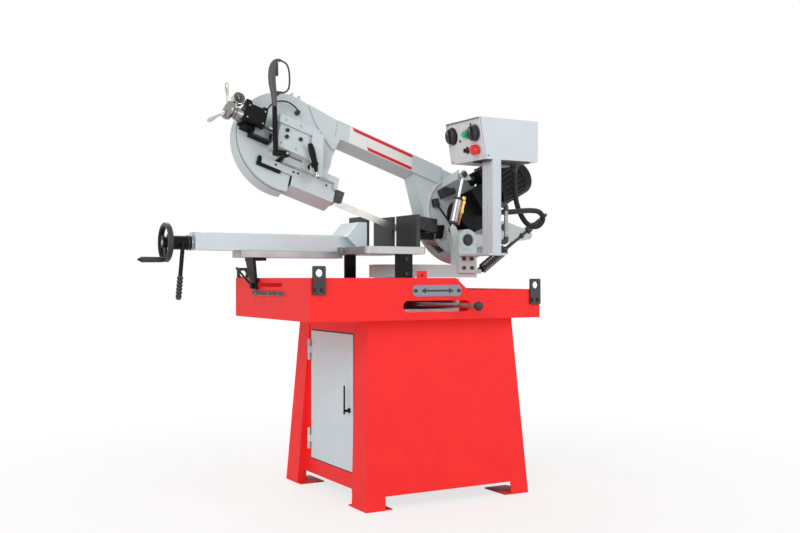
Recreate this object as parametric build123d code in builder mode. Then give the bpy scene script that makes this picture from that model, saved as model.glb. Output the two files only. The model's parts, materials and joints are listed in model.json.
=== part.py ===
from build123d import *
from math import atan2, cos, radians, sin
import os

# Swivelling metal cutting band saw on a cabinet stand, in millimetres.
# +X runs along the blade towards the bow pivot, +Y towards the back, +Z up.
# The origin is on the floor, at the centre of the four anchor holes.

# Fits
RUN_FIT = 0.05
SLIDE_GAP = 0.5
SHEET = 3.0

# Stand
FOOT_X, FOOT_Y = 726.0, 728.0
TOP_X, TOP_Y = 650.0, 607.0
STAND_HEIGHT = 693.0
LEG_FRONT, LEG_SIDE = 83.0, 117.0
FOOT_NOTCH = 50.0
FOOT_PLATE, FOOT_LIP = 5.0, 26.0
ANCHOR_X, ANCHOR_Y, ANCHOR_HOLE = 600.0, 610.0, 14.0
DOOR_WIDTH, DOOR_HEIGHT, DOOR_BOTTOM, DOOR_THICK = 380.0, 524.0, 113.0, 14.0
DOOR_GAP = 2.0
HINGE_PIN_R, KNUCKLE_R, KNUCKLE = 4.0, 6.5, 28.0
HINGE_END = 80.0
LATCH_R, LATCH_PLATE_R, LATCH_LEVER, LATCH_INSET, LATCH_DROP = 7.0, 13.0, 110.0, 28.0, 30.0

# Tray, lugs and plates
TRAY_LEFT, TRAY_RIGHT, TRAY_Y = -587.0, 416.0, 740.0
TRAY_DEPTH, TRAY_STEP = 157.0, 45.0
TRAY_TOP = STAND_HEIGHT + TRAY_DEPTH
TRAY_LOW = TRAY_TOP - TRAY_STEP
FLOOR = STAND_HEIGHT + SHEET
STEP_START, STEP_END = 20.0, 73.0
SLOT_LEFT, SLOT_RIGHT, SLOT_HEIGHT, SLOT_RISE = -211.0, 84.0, 42.0, 48.0
SLOT_Z = FLOOR + SLOT_RISE
TAB_X, TAB_WIDTH, TAB_RISE = -131.0, 44.0, 26.0
SIDE_SLOT_LENGTH, SIDE_SLOT_HEIGHT, SIDE_SLOT_Y, SIDE_SLOT_DROP = 262.0, 15.0, 15.0, 27.0
RAIL_LENGTH, RAIL_HEIGHT, RAIL_THICK, RAIL_DROP = 312.0, 15.0, 6.0, 60.0
ARROW_LENGTH, ARROW_HEIGHT, ARROW_X, ARROW_DROP = 214.0, 43.0, -65.0, 48.0
SIDE_SLOT_Z, RAIL_Z, ARROW_Z = TRAY_TOP - SIDE_SLOT_DROP, TRAY_TOP - RAIL_DROP, TRAY_TOP - ARROW_DROP
LUG_WIDTH, LUG_HEIGHT, LUG_THICK, LUG_HOLE, LUG_RISE = 50.0, 102.0, 8.0, 28.0, 42.0
LUG_LEFT_INSET, LUG_RIGHT_INSET = 32.0, 26.0
LUG_BOLT, LUG_BOLT_HEAD, LUG_BOLT_SPACING = 8.0, 13.0, 26.0

# Coolant tank and pump
TANK_X, TANK_Y, TANK_HEIGHT, TANK_Z = 400.0, 400.0, 230.0, 100.0
PUMP_R, PUMP_FLANGE_R, PUMP_X, PUMP_Y = 50.0, 72.0, 110.0, 100.0

# Saw plane, base, table and jaws
SAW_Y = 75.0
BASE_LEFT, BASE_RIGHT, BASE_FRONT, BASE_BACK, BASE_HEIGHT = -150.0, 235.0, -75.0, 225.0, 152.0
BASE_WALL, BASE_TOP = 20.0, FLOOR + BASE_HEIGHT
KINGPIN_R, HUB_R, ARM_GAP, ARM_THICK = 30.0, 105.0, 4.0, 53.0
ARM_LOW = BASE_TOP + ARM_GAP
ARM_TOP = ARM_LOW + ARM_THICK
TABLE_RISE, TABLE_THICK = 40.0, 30.0
TABLE_LOW = ARM_TOP + TABLE_RISE
TABLE_TOP = TABLE_LOW + TABLE_THICK
TABLE_LEFT, TABLE_RIGHT, TABLE_FRONT, TABLE_BACK = -235.0, 40.0, -115.0, 270.0
KERF_WIDTH, KERF_DEPTH = 14.0, 25.0
CHANNEL_END = -40.0
BED_LEFT, BED_FRONT, BED_BACK, BED_DROP, BED_THICK = -655.0, 125.0, 228.0, 18.0, 27.0
BED_TOP = TABLE_TOP - BED_DROP
BED_LOW = BED_TOP - BED_THICK
JAW_THICK, JAW_HEIGHT, JAW_LENGTH, JAW_GAP, JAW_BEVEL = 20.0, 131.0, 165.0, 34.0, 9.0

# Levers
LOCK_BALL_X, LOCK_BALL_Y, LOCK_BALL_R, LOCK_ROD_R = 76.0, -440.0, 17.5, 8.0
BED_LOCK_Y, BED_LOCK_RISE, BED_LOCK_R, BED_LOCK_HUB = 118.0, 30.0, 4.5, 16.0
BED_LOCK_REACH, BED_LOCK_LIFT, BED_LOCK_OUT = 127.0, 70.0, 14.0

# Vice
VICE_OPEN, MOVING_JAW_THICK, JAW_CASTING = 107.0, 12.0, 46.0
VICE_LEFT, BEAM_FRONT, BEAM_BACK, BEAM_RISE, BEAM_WALL = -835.0, 135.0, 217.0, 69.0, 14.0
SCREW_RISE, SCREW_R, SCREW_END = 28.0, 10.0, -280.0
BEAM_TOP, SCREW_Z = BED_TOP + BEAM_RISE, BED_TOP + SCREW_RISE
NUT_X, NUT_LENGTH, NUT_WIDTH = -560.0, 48.0, 44.0
HANDWHEEL_X, HANDWHEEL_R, RIM_R = -940.0, 75.0, 9.0
CRANK_PIN_R, CRANK_GRIP_R, CRANK_GRIP = 5.0, 10.0, 88.0
CLAMP_HUB_R, CLAMP_LEVER_R, CLAMP_LEVER_DROP = 27.0, 8.0, 215.0
CLAMP_LEVER_OUT, CLAMP_LEVER_REACH = 30.0, 39.0

# Bow: pivot, lean, wheels and blade
PIVOT_X, PIVOT_RISE = 274.0, 34.0
PIVOT_Z = TABLE_TOP + PIVOT_RISE
RAISE, LEAN = 18.5, 15.0
BLADE_DROP = 36.0
WHEEL_R, WHEEL_WIDTH, AXLE_R = 150.0, 32.0, 15.0
DRIVE_X, IDLER_X = 30.0, -840.0
BLADE_WIDTH, BLADE_THICK, BLADE_GAP = 27.0, 0.9, 0.3
PLATE_BACK, PLATE_FRONT, CASE_BACK, CAST_WALL = 20.0, 34.0, -45.0, 8.0
IDLER_CASE_R, DRIVE_CASE_R = 208.0, 185.0
CASE_LEFT = DRIVE_X - DRIVE_CASE_R
BEAM_START, BEAM_RIGHT, BEAM_LOW, BEAM_HIGH, BEAM_HALF = 200.0, -110.0, 257.0, 337.0, 43.0
BEAM_LEFT = IDLER_X + BEAM_START
NECK_X, NECK_KNEE, NECK_V, NECK_STEP, NECK_LOW = -240.0, 5.0, 90.0, 45.0, 30.0
NECK_EDGE = CASE_LEFT + NECK_STEP
CHEEK_HIGH_REACH, CHEEK_RISE, CHEEK_REACH, CHEEK_MIDDLE, CHEEK_LOW_REACH = 229.0, 6.0, 196.0, 118.0, 180.0
COVER_BACK, COVER_SKIN = -40.0, 3.0
DRIVE_COVER_DEPTH = 14.0
COVER_PIN_R, COVER_KNUCKLE_R, COVER_KNUCKLE, COVER_LUG, COVER_HINGE_RISE = 3.0, 6.0, 22.0, 8.0, 8.0
PIVOT_SHAFT_R, BOSS_R, BEARING_R = 20.0, 40.0, 45.0
BEARING_FRONT, BEARING_BACK = -66.0, -4.0
TAIL_FRONT, TAIL_THICK, BOSS_BACK = 0.0, 16.0, 47.0

# Gearbox and motor
GEARBOX_R, GEARBOX_FRONT, GEARBOX_WALL = 80.0, 118.0, 8.0
WORM_WHEEL_R, WORM_WHEEL = 56.0, 24.0
MOTOR_X, MOTOR_V, MOTOR_W, MOTOR_TURN = 75.0, 240.0, 118.0, 45.0
MOTOR_R, MOTOR_START, MOTOR_FAN, MOTOR_END = 78.0, 40.0, 190.0, 248.0
ADAPTER_HALF, ADAPTER_FRONT = 58.0, 156.0

# Blade tension
TENSION_V, TENSION_W = 152.0, 75.0
BLOCK_TAIL, BLOCK_NOSE, BLOCK_HALF, BLOCK_FRONT = 60.0, 100.0, 42.0, 88.0
BLOCK_LEFT, BLOCK_RIGHT = IDLER_X - BLOCK_TAIL, IDLER_X + BLOCK_NOSE
SLIDEWAY, SLIDEWAY_LIP = 28.0, 9.0
TENSION_TRAVEL, TENSION_SCREW_R = 12.0, 9.0
BRACKET_FAR, BRACKET_NEAR, BRACKET_FRONT = 216.0, 125.0, 110.0
BRACKET_LEFT, BRACKET_RIGHT = IDLER_X - BRACKET_FAR, IDLER_X - BRACKET_NEAR
BRACKET_LOW_V, BRACKET_HIGH_V = 117.0, 228.0
LIMIT_FAR, LIMIT_NEAR, LIMIT_LOW, LIMIT_HIGH, LIMIT_FRONT = 164.0, 77.0, 100.0, 134.0, 72.0
TENSION_HUB_FAR, TENSION_HUB_R, ARM_REACH, ARM_LEAN = 273.0, 36.0, 98.0, 40.0
TENSION_HUB_X = IDLER_X - TENSION_HUB_FAR
GAUGE_R, GAUGE_THICK, GAUGE_V = 26.0, 26.0, 214.0

# Guides and guard
GUARD_GAP, GUARD_TOP = 5.0, 22.0
GUARD_START, GUARD_LENGTH, GUARD_HIGH, GUARD_FRONT, GUARD_BACK = 50.0, 193.0, 18.0, 45.0, -25.0
GUARD_LEFT = IDLER_X + GUARD_START
GUARD_EDGE = GUARD_LEFT - GUARD_GAP
GUARD_LOW_FRONT, GUARD_LOW_BACK, GUARD_SKIN, GUARD_TAB = -28.0, -43.0, 3.0, 40.0
GUIDE_BAR_END, GUIDE_BAR, GUIDE_BAR_LOW, GUIDE_BAR_HIGH = 1.0, 250.0, 48.0, 76.0
GUIDE_BAR_RIGHT = GUARD_LEFT + GUARD_LENGTH + GUIDE_BAR_END
GUIDE_BAR_LEFT = GUIDE_BAR_RIGHT - GUIDE_BAR
GUIDE_BAR_BACK, GUIDE_BAR_FRONT = 40.0, 62.0
GUIDE_SLIDE_START, GUIDE_SLIDE, GUIDE_CAP = 70.0, 115.0, 10.0
GUIDE_SLIDE_LEFT = IDLER_X + GUIDE_SLIDE_START
GUIDE_SLIDE_RIGHT = GUIDE_SLIDE_LEFT + GUIDE_SLIDE
GUIDE_END, GUIDE_END_LOW, GUIDE_END_BACK = 16.0, 24.0, 4.0
GUIDE_LENGTH, GUIDE_HALF, GUIDE_LOW, GUIDE_HIGH = 51.0, 15.0, 3.0, 50.0
FIXED_GUIDE_INSET, FIXED_GUIDE, FIXED_GUIDE_HALF, FIXED_GUIDE_HIGH = 15.0, 55.0, 22.0, 58.0
FIXED_GUIDE_RIGHT = CASE_LEFT + FIXED_GUIDE_INSET
FIXED_GUIDE_LEFT = FIXED_GUIDE_RIGHT - FIXED_GUIDE
FIXED_LUG_INSET, FIXED_LUG_REACH, FIXED_LUG_LOW, FIXED_LUG_HIGH, FIXED_LUG_THICK = 5.0, 10.0, 20.0, 90.0, 12.0
CLAMP_PIN_REACH, CLAMP_PIN_V, CLAMP_W, CLAMP_ROD_R = 103.0, 63.0, 114.0, 7.0
CLAMP_PIN_X = IDLER_X + CLAMP_PIN_REACH
CLAMP_TOP_BACK, CLAMP_TOP_V, CLAMP_FOOT, CLAMP_FOOT_V = 53.0, 180.0, 15.0, 30.0
TWIST_LEAD, TWIST_CLEAR, FLAT_RUN = 4.0, 15.0, 70.0
TWIST_IN, TWIST_OUT = GUIDE_BAR_RIGHT - TWIST_LEAD, FIXED_GUIDE_RIGHT + TWIST_CLEAR

# Handle, in its own leaning plane: rod, foot, loop and trigger
HANDLE_BACK, HANDLE_V, HANDLE_W, HANDLE_TURN = 65.0, 46.0, 112.0, 13.5
HANDLE_ROD_R, HANDLE_ROD, HANDLE_FOOT, HANDLE_FOOT_R, HANDLE_THICK = 10.0, 252.0, 46.0, 8.0, 24.0
LOOP_LEFT, LOOP_RIGHT, LOOP_LOW, LOOP_HIGH, LOOP_ROUND = -25.0, 73.0, 247.0, 397.0, 45.0
GRIP_EDGE, LOOP_WALL = 8.0, 9.0
TRIGGER_LOW, TRIGGER_HIGH, TRIGGER_DEPTH, TRIGGER_THICK, TRIGGER_ROOM = 322.0, 376.0, 15.0, 10.0, 14.0
TRIGGER_PIN_R, TRIGGER_PIN_INSET = 2.0, 4.5

# Control post and box
POST_LEFT, POST_RIGHT, POST_FRONT, POST_BACK = 239.0, 281.0, -300.0, -224.0
POST_RISE, POST_HEIGHT, POST_PLATE, POST_WALL = 44.0, 373.0, 9.0, 4.0
PLATE_MARGIN, PLATE_LIP = 20.0, 5.0
BRACKET_DROP, BRACKET_THICK = 35.0, 10.0
POST_FOOT, BRACKET_LOW = ARM_TOP + POST_RISE, ARM_TOP - BRACKET_DROP
BOX_TOP_X, BOX_LOW_X, BOX_RIGHT, BOX_FRONT, BOX_BACK = 179.0, 207.0, 463.0, -300.0, -57.0
BOX_HEIGHT, BOX_WALL, PANEL_THICK = 166.0, 2.0, 3.0
BOX_LOW = POST_FOOT + POST_HEIGHT
BOX_HIGH = BOX_LOW + BOX_HEIGHT
STEM_R, BUTTON_TRAVEL = 8.0, 6.0

# Down-feed cylinder, between pins in the plane y = FEED_Y
FEED_Y = -20.0
FEED_LOW_X, FEED_LOW_RISE, FEED_HIGH_X, FEED_HIGH_RISE = 224.0, 45.0, 281.0, 277.0
FEED_LOW_Z, FEED_HIGH_Z = PIVOT_Z + FEED_LOW_RISE, PIVOT_Z + FEED_HIGH_RISE
FEED_PIN_R, FEED_LOW_EYE_R, FEED_EYE_R, FEED_EYE_HOLE_R, FEED_EYE_HALF = 6.0, 14.0, 20.0, 13.0, 7.0
CYLINDER_R, CYLINDER_START, CYLINDER_END, FEED_ROD_R, FEED_ROD_START = 17.0, 24.0, 140.0, 7.0, 60.0
VALVE_R, VALVE_OFFSET, VALVE_LENGTH, VALVE_START = 8.0, 27.0, 56.0, 78.0
VALVE_KNOB_R, VALVE_KNOB, VALVE_STEM_R, VALVE_STEM = 10.0, 16.0, 4.0, 14.0

# Return spring and its rod, in the plane y = SPRING_Y
SPRING_Y = 4.0
SPRING_LOW_X, SPRING_LOW_DROP, SPRING_HIGH_X, SPRING_HIGH_DROP = 390.0, 123.0, 517.0, 33.0
SPRING_LOW_Z, SPRING_HIGH_Z = PIVOT_Z - SPRING_LOW_DROP, PIVOT_Z - SPRING_HIGH_DROP
SPRING_R, SPRING_WIRE, SPRING_ROD_R, SPRING_ROD_LENGTH = 23.0, 5.0, 6.0, 275.0
SPRING_LUG_X, SPRING_LUG_DROP = 370.0, 118.0
TAIL_X, TAIL_RISE, TAIL_R = 639.0, 31.0, 20.0
TAIL_NECK, TAIL_WAIST, TAIL_STEP = 50.0, 28.0, 165.0
TAIL_CREST, TAIL_CREST_RISE, TAIL_CREST_END = 205.0, 88.0, 240.0
SPRING_LUG_Z, TAIL_Z = PIVOT_Z - SPRING_LUG_DROP, PIVOT_Z + TAIL_RISE

# Conduit from the control box round to the post
CONDUIT_R = 11.0
CONDUIT_POINTS = (
    (452.0, -150.0, BOX_LOW), (452.0, -150.0, 1262.0), (456.0, -153.0, 1190.0), (474.0, -158.0, 1130.0),
    (515.0, -166.0, 1085.0), (565.0, -176.0, 1085.0), (580.0, -186.0, 1125.0), (545.0, -198.0, 1155.0),
    (480.0, -212.0, 1150.0), (405.0, -236.0, 1130.0), (340.0, -254.0, 1116.0), (POST_RIGHT, -254.0, 1116.0),
)

# Worked-out places
JAW_FACE = -VICE_OPEN
JAW_NEAR, JAW_FAR = SAW_Y + 2 - JAW_GAP / 2, SAW_Y + 2 + JAW_GAP / 2
CASTING_FACE = JAW_FACE - MOVING_JAW_THICK
VICE_Y = (BEAM_FRONT + BEAM_BACK) / 2
UP = (Align.CENTER, Align.CENTER, Align.MIN)

nodes = []


def keep(builder, name):
    """Label a finished piece and queue it for export."""
    builder.part.label = name
    nodes.append(builder.part)


def span(x, y, z, mode=Mode.ADD):
    """Box between two limits on each axis of the current work plane."""
    with Locations(((x[0] + x[1]) / 2, (y[0] + y[1]) / 2, (z[0] + z[1]) / 2)):
        Box(x[1] - x[0], y[1] - y[0], z[1] - z[0], mode=mode)


def rod(start, end, radius, mode=Mode.ADD):
    """Round bar from one point to another of the current work plane."""
    axis = Vector(end) - Vector(start)
    with Locations(Plane(origin=start, z_dir=axis)):
        Cylinder(radius, axis.length, align=UP, mode=mode)


def front(y):
    """Plane facing the front at world y, with world x and z as its axes."""
    return Plane(origin=(0, y, 0), x_dir=(1, 0, 0), z_dir=(0, -1, 0))


tilt, lean = radians(RAISE), radians(LEAN)
ALONG = Vector(cos(tilt), 0, -sin(tilt))
ABOVE = Vector(sin(tilt), 0, cos(tilt))
BACKWARD = Vector(0, 1, 0)
PIVOT = Vector(PIVOT_X, SAW_Y, PIVOT_Z)
BLADE = Plane(origin=PIVOT - ABOVE * BLADE_DROP, x_dir=ALONG, z_dir=ABOVE)
BOW = Plane(origin=BLADE.origin, x_dir=ALONG, z_dir=ABOVE * sin(lean) - BACKWARD * cos(lean))


def bow_plate(outline, low, high, mode=Mode.ADD):
    """Extrude an outline of the wheel plane between two depths of the bow."""
    with BuildSketch(BOW.offset(low)) as profile:
        outline()
    extrude(profile.sketch, amount=high - low, mode=mode)


# Stand
def bay_outline(inset):
    """Door bay between the side legs, narrower towards the top."""
    low = FOOT_Y / 2 - LEG_SIDE + inset
    high = (TOP_Y / 2) - LEG_SIDE * TOP_Y / FOOT_Y + inset
    Polygon((-low, 0), (low, 0), (high, STAND_HEIGHT), (-high, STAND_HEIGHT), align=None)


with BuildPart() as stand_hull:
    with BuildSketch():
        Rectangle(FOOT_X, FOOT_Y)
    with BuildSketch(Plane.XY.offset(STAND_HEIGHT)):
        Rectangle(TOP_X, TOP_Y)
    loft()

with BuildPart() as stand_inside:
    with BuildSketch():
        Rectangle(FOOT_X - 2 * SHEET, FOOT_Y - 2 * SHEET)
    with BuildSketch(Plane.XY.offset(STAND_HEIGHT - SHEET)):
        Rectangle(TOP_X - 2 * SHEET, TOP_Y - 2 * SHEET)
    loft()

BAY_INNER = -TOP_X / 2 + SHEET
BAY_OUTER = BAY_INNER - SHEET
with BuildPart() as door_bay:
    with BuildSketch(Plane.YZ.offset(-FOOT_X / 2)):
        bay_outline(SHEET)
    extrude(amount=FOOT_X / 2 + BAY_INNER)
    with BuildSketch(Plane.YZ.offset(-FOOT_X / 2)):
        bay_outline(0)
    extrude(amount=FOOT_X / 2 + BAY_OUTER, mode=Mode.SUBTRACT)
    span((-FOOT_X, 0), (-DOOR_WIDTH / 2, DOOR_WIDTH / 2), (DOOR_BOTTOM, DOOR_BOTTOM + DOOR_HEIGHT),
         Mode.SUBTRACT)
    add(stand_hull.part, mode=Mode.INTERSECT)

RAIL_HALF, RAIL_DEPTH = 15.0, 8.0
with BuildPart() as tank_rails:
    for side in (-1, 1):
        rail_y = side * (TANK_Y / 2 - 2 * RAIL_HALF)
        span((BAY_INNER, FOOT_X / 2), (rail_y - RAIL_HALF, rail_y + RAIL_HALF),
             (TANK_Z - RAIL_DEPTH, TANK_Z))
    add(stand_inside.part, mode=Mode.INTERSECT)

with BuildPart() as stand_cabinet:
    add(stand_hull.part)
    add(stand_inside.part, mode=Mode.SUBTRACT)
    with BuildSketch(Plane.YZ.offset(-FOOT_X / 2)):
        bay_outline(SHEET)
    extrude(amount=FOOT_X / 2 + BAY_INNER, mode=Mode.SUBTRACT)
    add(door_bay.part)
    add(tank_rails.part)
    span((-FOOT_X / 2 + LEG_FRONT, FOOT_X / 2 - LEG_FRONT), (-FOOT_Y, FOOT_Y), (0, FOOT_NOTCH),
         Mode.SUBTRACT)
    span((-FOOT_X, FOOT_X), (-FOOT_Y / 2 + LEG_SIDE, FOOT_Y / 2 - LEG_SIDE), (0, FOOT_NOTCH), Mode.SUBTRACT)
    with GridLocations(FOOT_X - LEG_FRONT - FOOT_LIP - SHEET, FOOT_Y - LEG_SIDE - FOOT_LIP - SHEET, 2, 2):
        Box(LEG_FRONT + FOOT_LIP, LEG_SIDE + FOOT_LIP, FOOT_PLATE, align=UP)
    with GridLocations(ANCHOR_X, ANCHOR_Y, 2, 2):
        Cylinder(ANCHOR_HOLE / 2, 4 * FOOT_PLATE, mode=Mode.SUBTRACT)
keep(stand_cabinet, "stand_cabinet")

# Cabinet door on two lift-off hinges, with a turning latch
DOOR_FACE = BAY_OUTER - DOOR_GAP
HINGE_X, HINGE_Y = DOOR_FACE - KNUCKLE_R + 1, DOOR_WIDTH / 2 + KNUCKLE_R + 1
HINGE_HEIGHTS = (DOOR_BOTTOM + HINGE_END, DOOR_BOTTOM + DOOR_HEIGHT - HINGE_END)
DOOR_HALF = DOOR_WIDTH / 2 - DOOR_GAP
DOOR_LOW, DOOR_HIGH = DOOR_BOTTOM + DOOR_GAP, DOOR_BOTTOM + DOOR_HEIGHT - DOOR_GAP
LATCH_Y, LATCH_Z = -DOOR_HALF + LATCH_INSET, DOOR_BOTTOM + DOOR_HEIGHT / 2 - LATCH_DROP
with BuildPart() as cabinet_door:
    span((DOOR_FACE, DOOR_FACE + DOOR_THICK), (-DOOR_HALF, DOOR_HALF), (DOOR_LOW, DOOR_HIGH))
    span((DOOR_FACE + SHEET, DOOR_FACE + DOOR_THICK), (-DOOR_HALF + SHEET, DOOR_HALF - SHEET),
         (DOOR_LOW + SHEET, DOOR_HIGH - SHEET), Mode.SUBTRACT)
    for z in HINGE_HEIGHTS:
        span((HINGE_X, BAY_OUTER - DOOR_GAP / 2), (DOOR_HALF - SHEET, HINGE_Y),
             (z - KNUCKLE / 2, z + KNUCKLE / 2))
        with Locations((HINGE_X, HINGE_Y, z)):
            Cylinder(KNUCKLE_R, KNUCKLE)
            Cylinder(HINGE_PIN_R + RUN_FIT, 2 * KNUCKLE, mode=Mode.SUBTRACT)
    rod((DOOR_FACE - 1, LATCH_Y, LATCH_Z), (DOOR_FACE + DOOR_THICK, LATCH_Y, LATCH_Z), LATCH_R + RUN_FIT,
        Mode.SUBTRACT)
keep(cabinet_door, "cabinet_door")

HINGE_STEP = KNUCKLE + SLIDE_GAP
with BuildPart() as door_hinges:
    for z in HINGE_HEIGHTS:
        for side in (-1, 1):
            with Locations((HINGE_X, HINGE_Y, z + side * HINGE_STEP)):
                Cylinder(KNUCKLE_R, KNUCKLE)
            span((HINGE_X, BAY_OUTER), (HINGE_Y, HINGE_Y + KNUCKLE_R),
                 (z + side * HINGE_STEP - KNUCKLE / 2, z + side * HINGE_STEP + KNUCKLE / 2))
        with Locations((HINGE_X, HINGE_Y, z)):
            Cylinder(HINGE_PIN_R, 3 * HINGE_STEP)
keep(door_hinges, "door_hinges")

LEVER_FACE = DOOR_FACE - 20.0
with BuildPart() as door_handle:
    rod((LEVER_FACE, LATCH_Y, LATCH_Z), (DOOR_FACE + DOOR_THICK + SHEET, LATCH_Y, LATCH_Z), LATCH_R)
    rod((LEVER_FACE, LATCH_Y, LATCH_Z), (DOOR_FACE - SLIDE_GAP, LATCH_Y, LATCH_Z), LATCH_PLATE_R)
    span((LEVER_FACE - 8, LEVER_FACE), (LATCH_Y - LATCH_R, LATCH_Y + LATCH_R),
         (LATCH_Z - 2 * LATCH_R, LATCH_Z - 2 * LATCH_R + LATCH_LEVER))
    span((DOOR_FACE + DOOR_THICK + SLIDE_GAP, DOOR_FACE + DOOR_THICK + SHEET + 1),
         (LATCH_Y - 3 * LATCH_R, LATCH_Y + LATCH_R), (LATCH_Z - LATCH_R, LATCH_Z + LATCH_R))
keep(door_handle, "door_handle")

# Coolant tray
with BuildPart() as coolant_tray:
    span((TRAY_LEFT, TRAY_RIGHT), (-TRAY_Y / 2, TRAY_Y / 2), (STAND_HEIGHT, TRAY_TOP))
    span((TRAY_LEFT + SHEET, TRAY_RIGHT - SHEET), (-TRAY_Y / 2 + SHEET, TRAY_Y / 2 - SHEET),
         (FLOOR, TRAY_TOP), Mode.SUBTRACT)
    with BuildSketch(front(TRAY_Y)):
        Polygon((STEP_START, TRAY_TOP), (STEP_END, TRAY_LOW), (TRAY_RIGHT, TRAY_LOW),
                (TRAY_RIGHT, TRAY_TOP),
                align=None)
    extrude(amount=2 * TRAY_Y, mode=Mode.SUBTRACT)
    with BuildSketch(front(-TRAY_Y / 2 + SHEET)):
        with Locations(((SLOT_LEFT + SLOT_RIGHT) / 2, SLOT_Z)):
            SlotOverall(SLOT_RIGHT - SLOT_LEFT, SLOT_HEIGHT)
    extrude(amount=SHEET, mode=Mode.SUBTRACT)
    with Locations((TRAY_LEFT, SIDE_SLOT_Y, SIDE_SLOT_Z)):
        Box(4 * SHEET, SIDE_SLOT_LENGTH, SIDE_SLOT_HEIGHT, mode=Mode.SUBTRACT)
    span((TAB_X - TAB_WIDTH / 2, TAB_X + TAB_WIDTH / 2), (-TRAY_Y / 2, -TRAY_Y / 2 + SHEET),
         (TRAY_TOP, TRAY_TOP + TAB_RISE))
keep(coolant_tray, "coolant_tray")

with BuildPart() as tray_plates:
    span((TRAY_LEFT - RAIL_THICK, TRAY_LEFT),
         (SIDE_SLOT_Y - RAIL_LENGTH / 2, SIDE_SLOT_Y + RAIL_LENGTH / 2),
         (RAIL_Z - RAIL_HEIGHT / 2, RAIL_Z + RAIL_HEIGHT / 2))
    with BuildSketch(front(-TRAY_Y / 2)):
        with Locations((ARROW_X, ARROW_Z)):
            RectangleRounded(ARROW_LENGTH, ARROW_HEIGHT, ARROW_HEIGHT / 3)
    extrude(amount=SHEET)
keep(tray_plates, "tray_plates")

LUGS = [
    (x, side, top + LUG_RISE)
    for x, top in ((TRAY_LEFT + LUG_LEFT_INSET, TRAY_TOP), (TRAY_RIGHT - LUG_RIGHT_INSET, TRAY_LOW))
    for side in (-1, 1)
]
LUG_BOLT_DROP = LUG_HEIGHT - 18.0
with BuildPart() as lifting_lugs:
    for x, side, top in LUGS:
        with BuildSketch(Plane(origin=(x, side * TRAY_Y / 2, top), x_dir=(1, 0, 0), z_dir=(0, side, 0))):
            with Locations((0, side * LUG_HEIGHT / 2)):
                RectangleRounded(LUG_WIDTH, LUG_HEIGHT, 6)
            with Locations((0, side * LUG_WIDTH / 2)):
                Circle(LUG_HOLE / 2, mode=Mode.SUBTRACT)
        extrude(amount=LUG_THICK)
        for offset in (-LUG_BOLT_SPACING / 2, LUG_BOLT_SPACING / 2):
            face = Vector(x + offset, side * (TRAY_Y / 2 + LUG_THICK), top - LUG_BOLT_DROP)
            rod(face, face + Vector(0, side * LUG_BOLT, 0), LUG_BOLT_HEAD / 2)
keep(lifting_lugs, "lifting_lugs")

# Coolant tank and pump in the cabinet
with BuildPart() as coolant_tank:
    with Locations((0, 0, TANK_Z)):
        Box(TANK_X, TANK_Y, TANK_HEIGHT, align=UP)
    with Locations((0, 0, TANK_Z + SHEET)):
        Box(TANK_X - 2 * SHEET, TANK_Y - 2 * SHEET, TANK_HEIGHT, align=UP, mode=Mode.SUBTRACT)
keep(coolant_tank, "coolant_tank")

with BuildPart() as coolant_pump:
    with Locations((PUMP_X, PUMP_Y, TANK_Z + SHEET)):
        Cylinder(PUMP_R, TANK_HEIGHT - 2 * SHEET, align=UP)
    with Locations((PUMP_X, PUMP_Y, TANK_Z + TANK_HEIGHT - SHEET)):
        Cylinder(PUMP_FLANGE_R, 2 * SHEET, align=UP)
        Cylinder(PUMP_R, 2 * PUMP_FLANGE_R, align=UP)
keep(coolant_pump, "coolant_pump")

# Base casting with its kingpin and a window for the lock lever
LOCK_HUB_R, LOCK_HUB, LOCK_PIN_R = 24.0, 30.0, 14.0
with BuildPart() as base_casting:
    span((BASE_LEFT, BASE_RIGHT), (BASE_FRONT, BASE_BACK), (FLOOR, BASE_TOP))
    fillet(base_casting.edges().filter_by(Axis.Z), BASE_WALL)
    span((BASE_LEFT + BASE_WALL, BASE_RIGHT - BASE_WALL), (BASE_FRONT + BASE_WALL, BASE_BACK - BASE_WALL),
         (FLOOR, BASE_TOP - BASE_WALL), Mode.SUBTRACT)
    span((BASE_LEFT + BASE_WALL, BASE_RIGHT - BASE_WALL), (BASE_FRONT, BASE_FRONT + BASE_WALL),
         (SLOT_Z - SLOT_HEIGHT / 2, SLOT_Z + SLOT_HEIGHT / 2), Mode.SUBTRACT)
    with Locations((0, SAW_Y, BASE_TOP)):
        Cylinder(HUB_R - BASE_WALL, ARM_LOW - BASE_TOP - SLIDE_GAP, align=UP)
        Cylinder(KINGPIN_R, ARM_TOP - BASE_TOP, align=UP)
    with Locations((0, SAW_Y, FLOOR)):
        Cylinder(LOCK_PIN_R, BASE_TOP - FLOOR, align=UP)
        Cylinder(LOCK_HUB_R, SLOT_Z - LOCK_HUB / 2 - SLIDE_GAP - FLOOR, align=UP)
keep(base_casting, "base_casting")

with BuildPart() as lock_lever:
    with Locations((0, SAW_Y, SLOT_Z)):
        Cylinder(LOCK_HUB_R, LOCK_HUB)
    rod((0, SAW_Y, SLOT_Z), (LOCK_BALL_X, LOCK_BALL_Y, SLOT_Z), LOCK_ROD_R)
    with Locations((LOCK_BALL_X, LOCK_BALL_Y, SLOT_Z)):
        Sphere(LOCK_BALL_R)
    with Locations((0, SAW_Y, SLOT_Z)):
        Cylinder(LOCK_PIN_R + RUN_FIT, 2 * LOCK_HUB, mode=Mode.SUBTRACT)
keep(lock_lever, "lock_lever")

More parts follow.
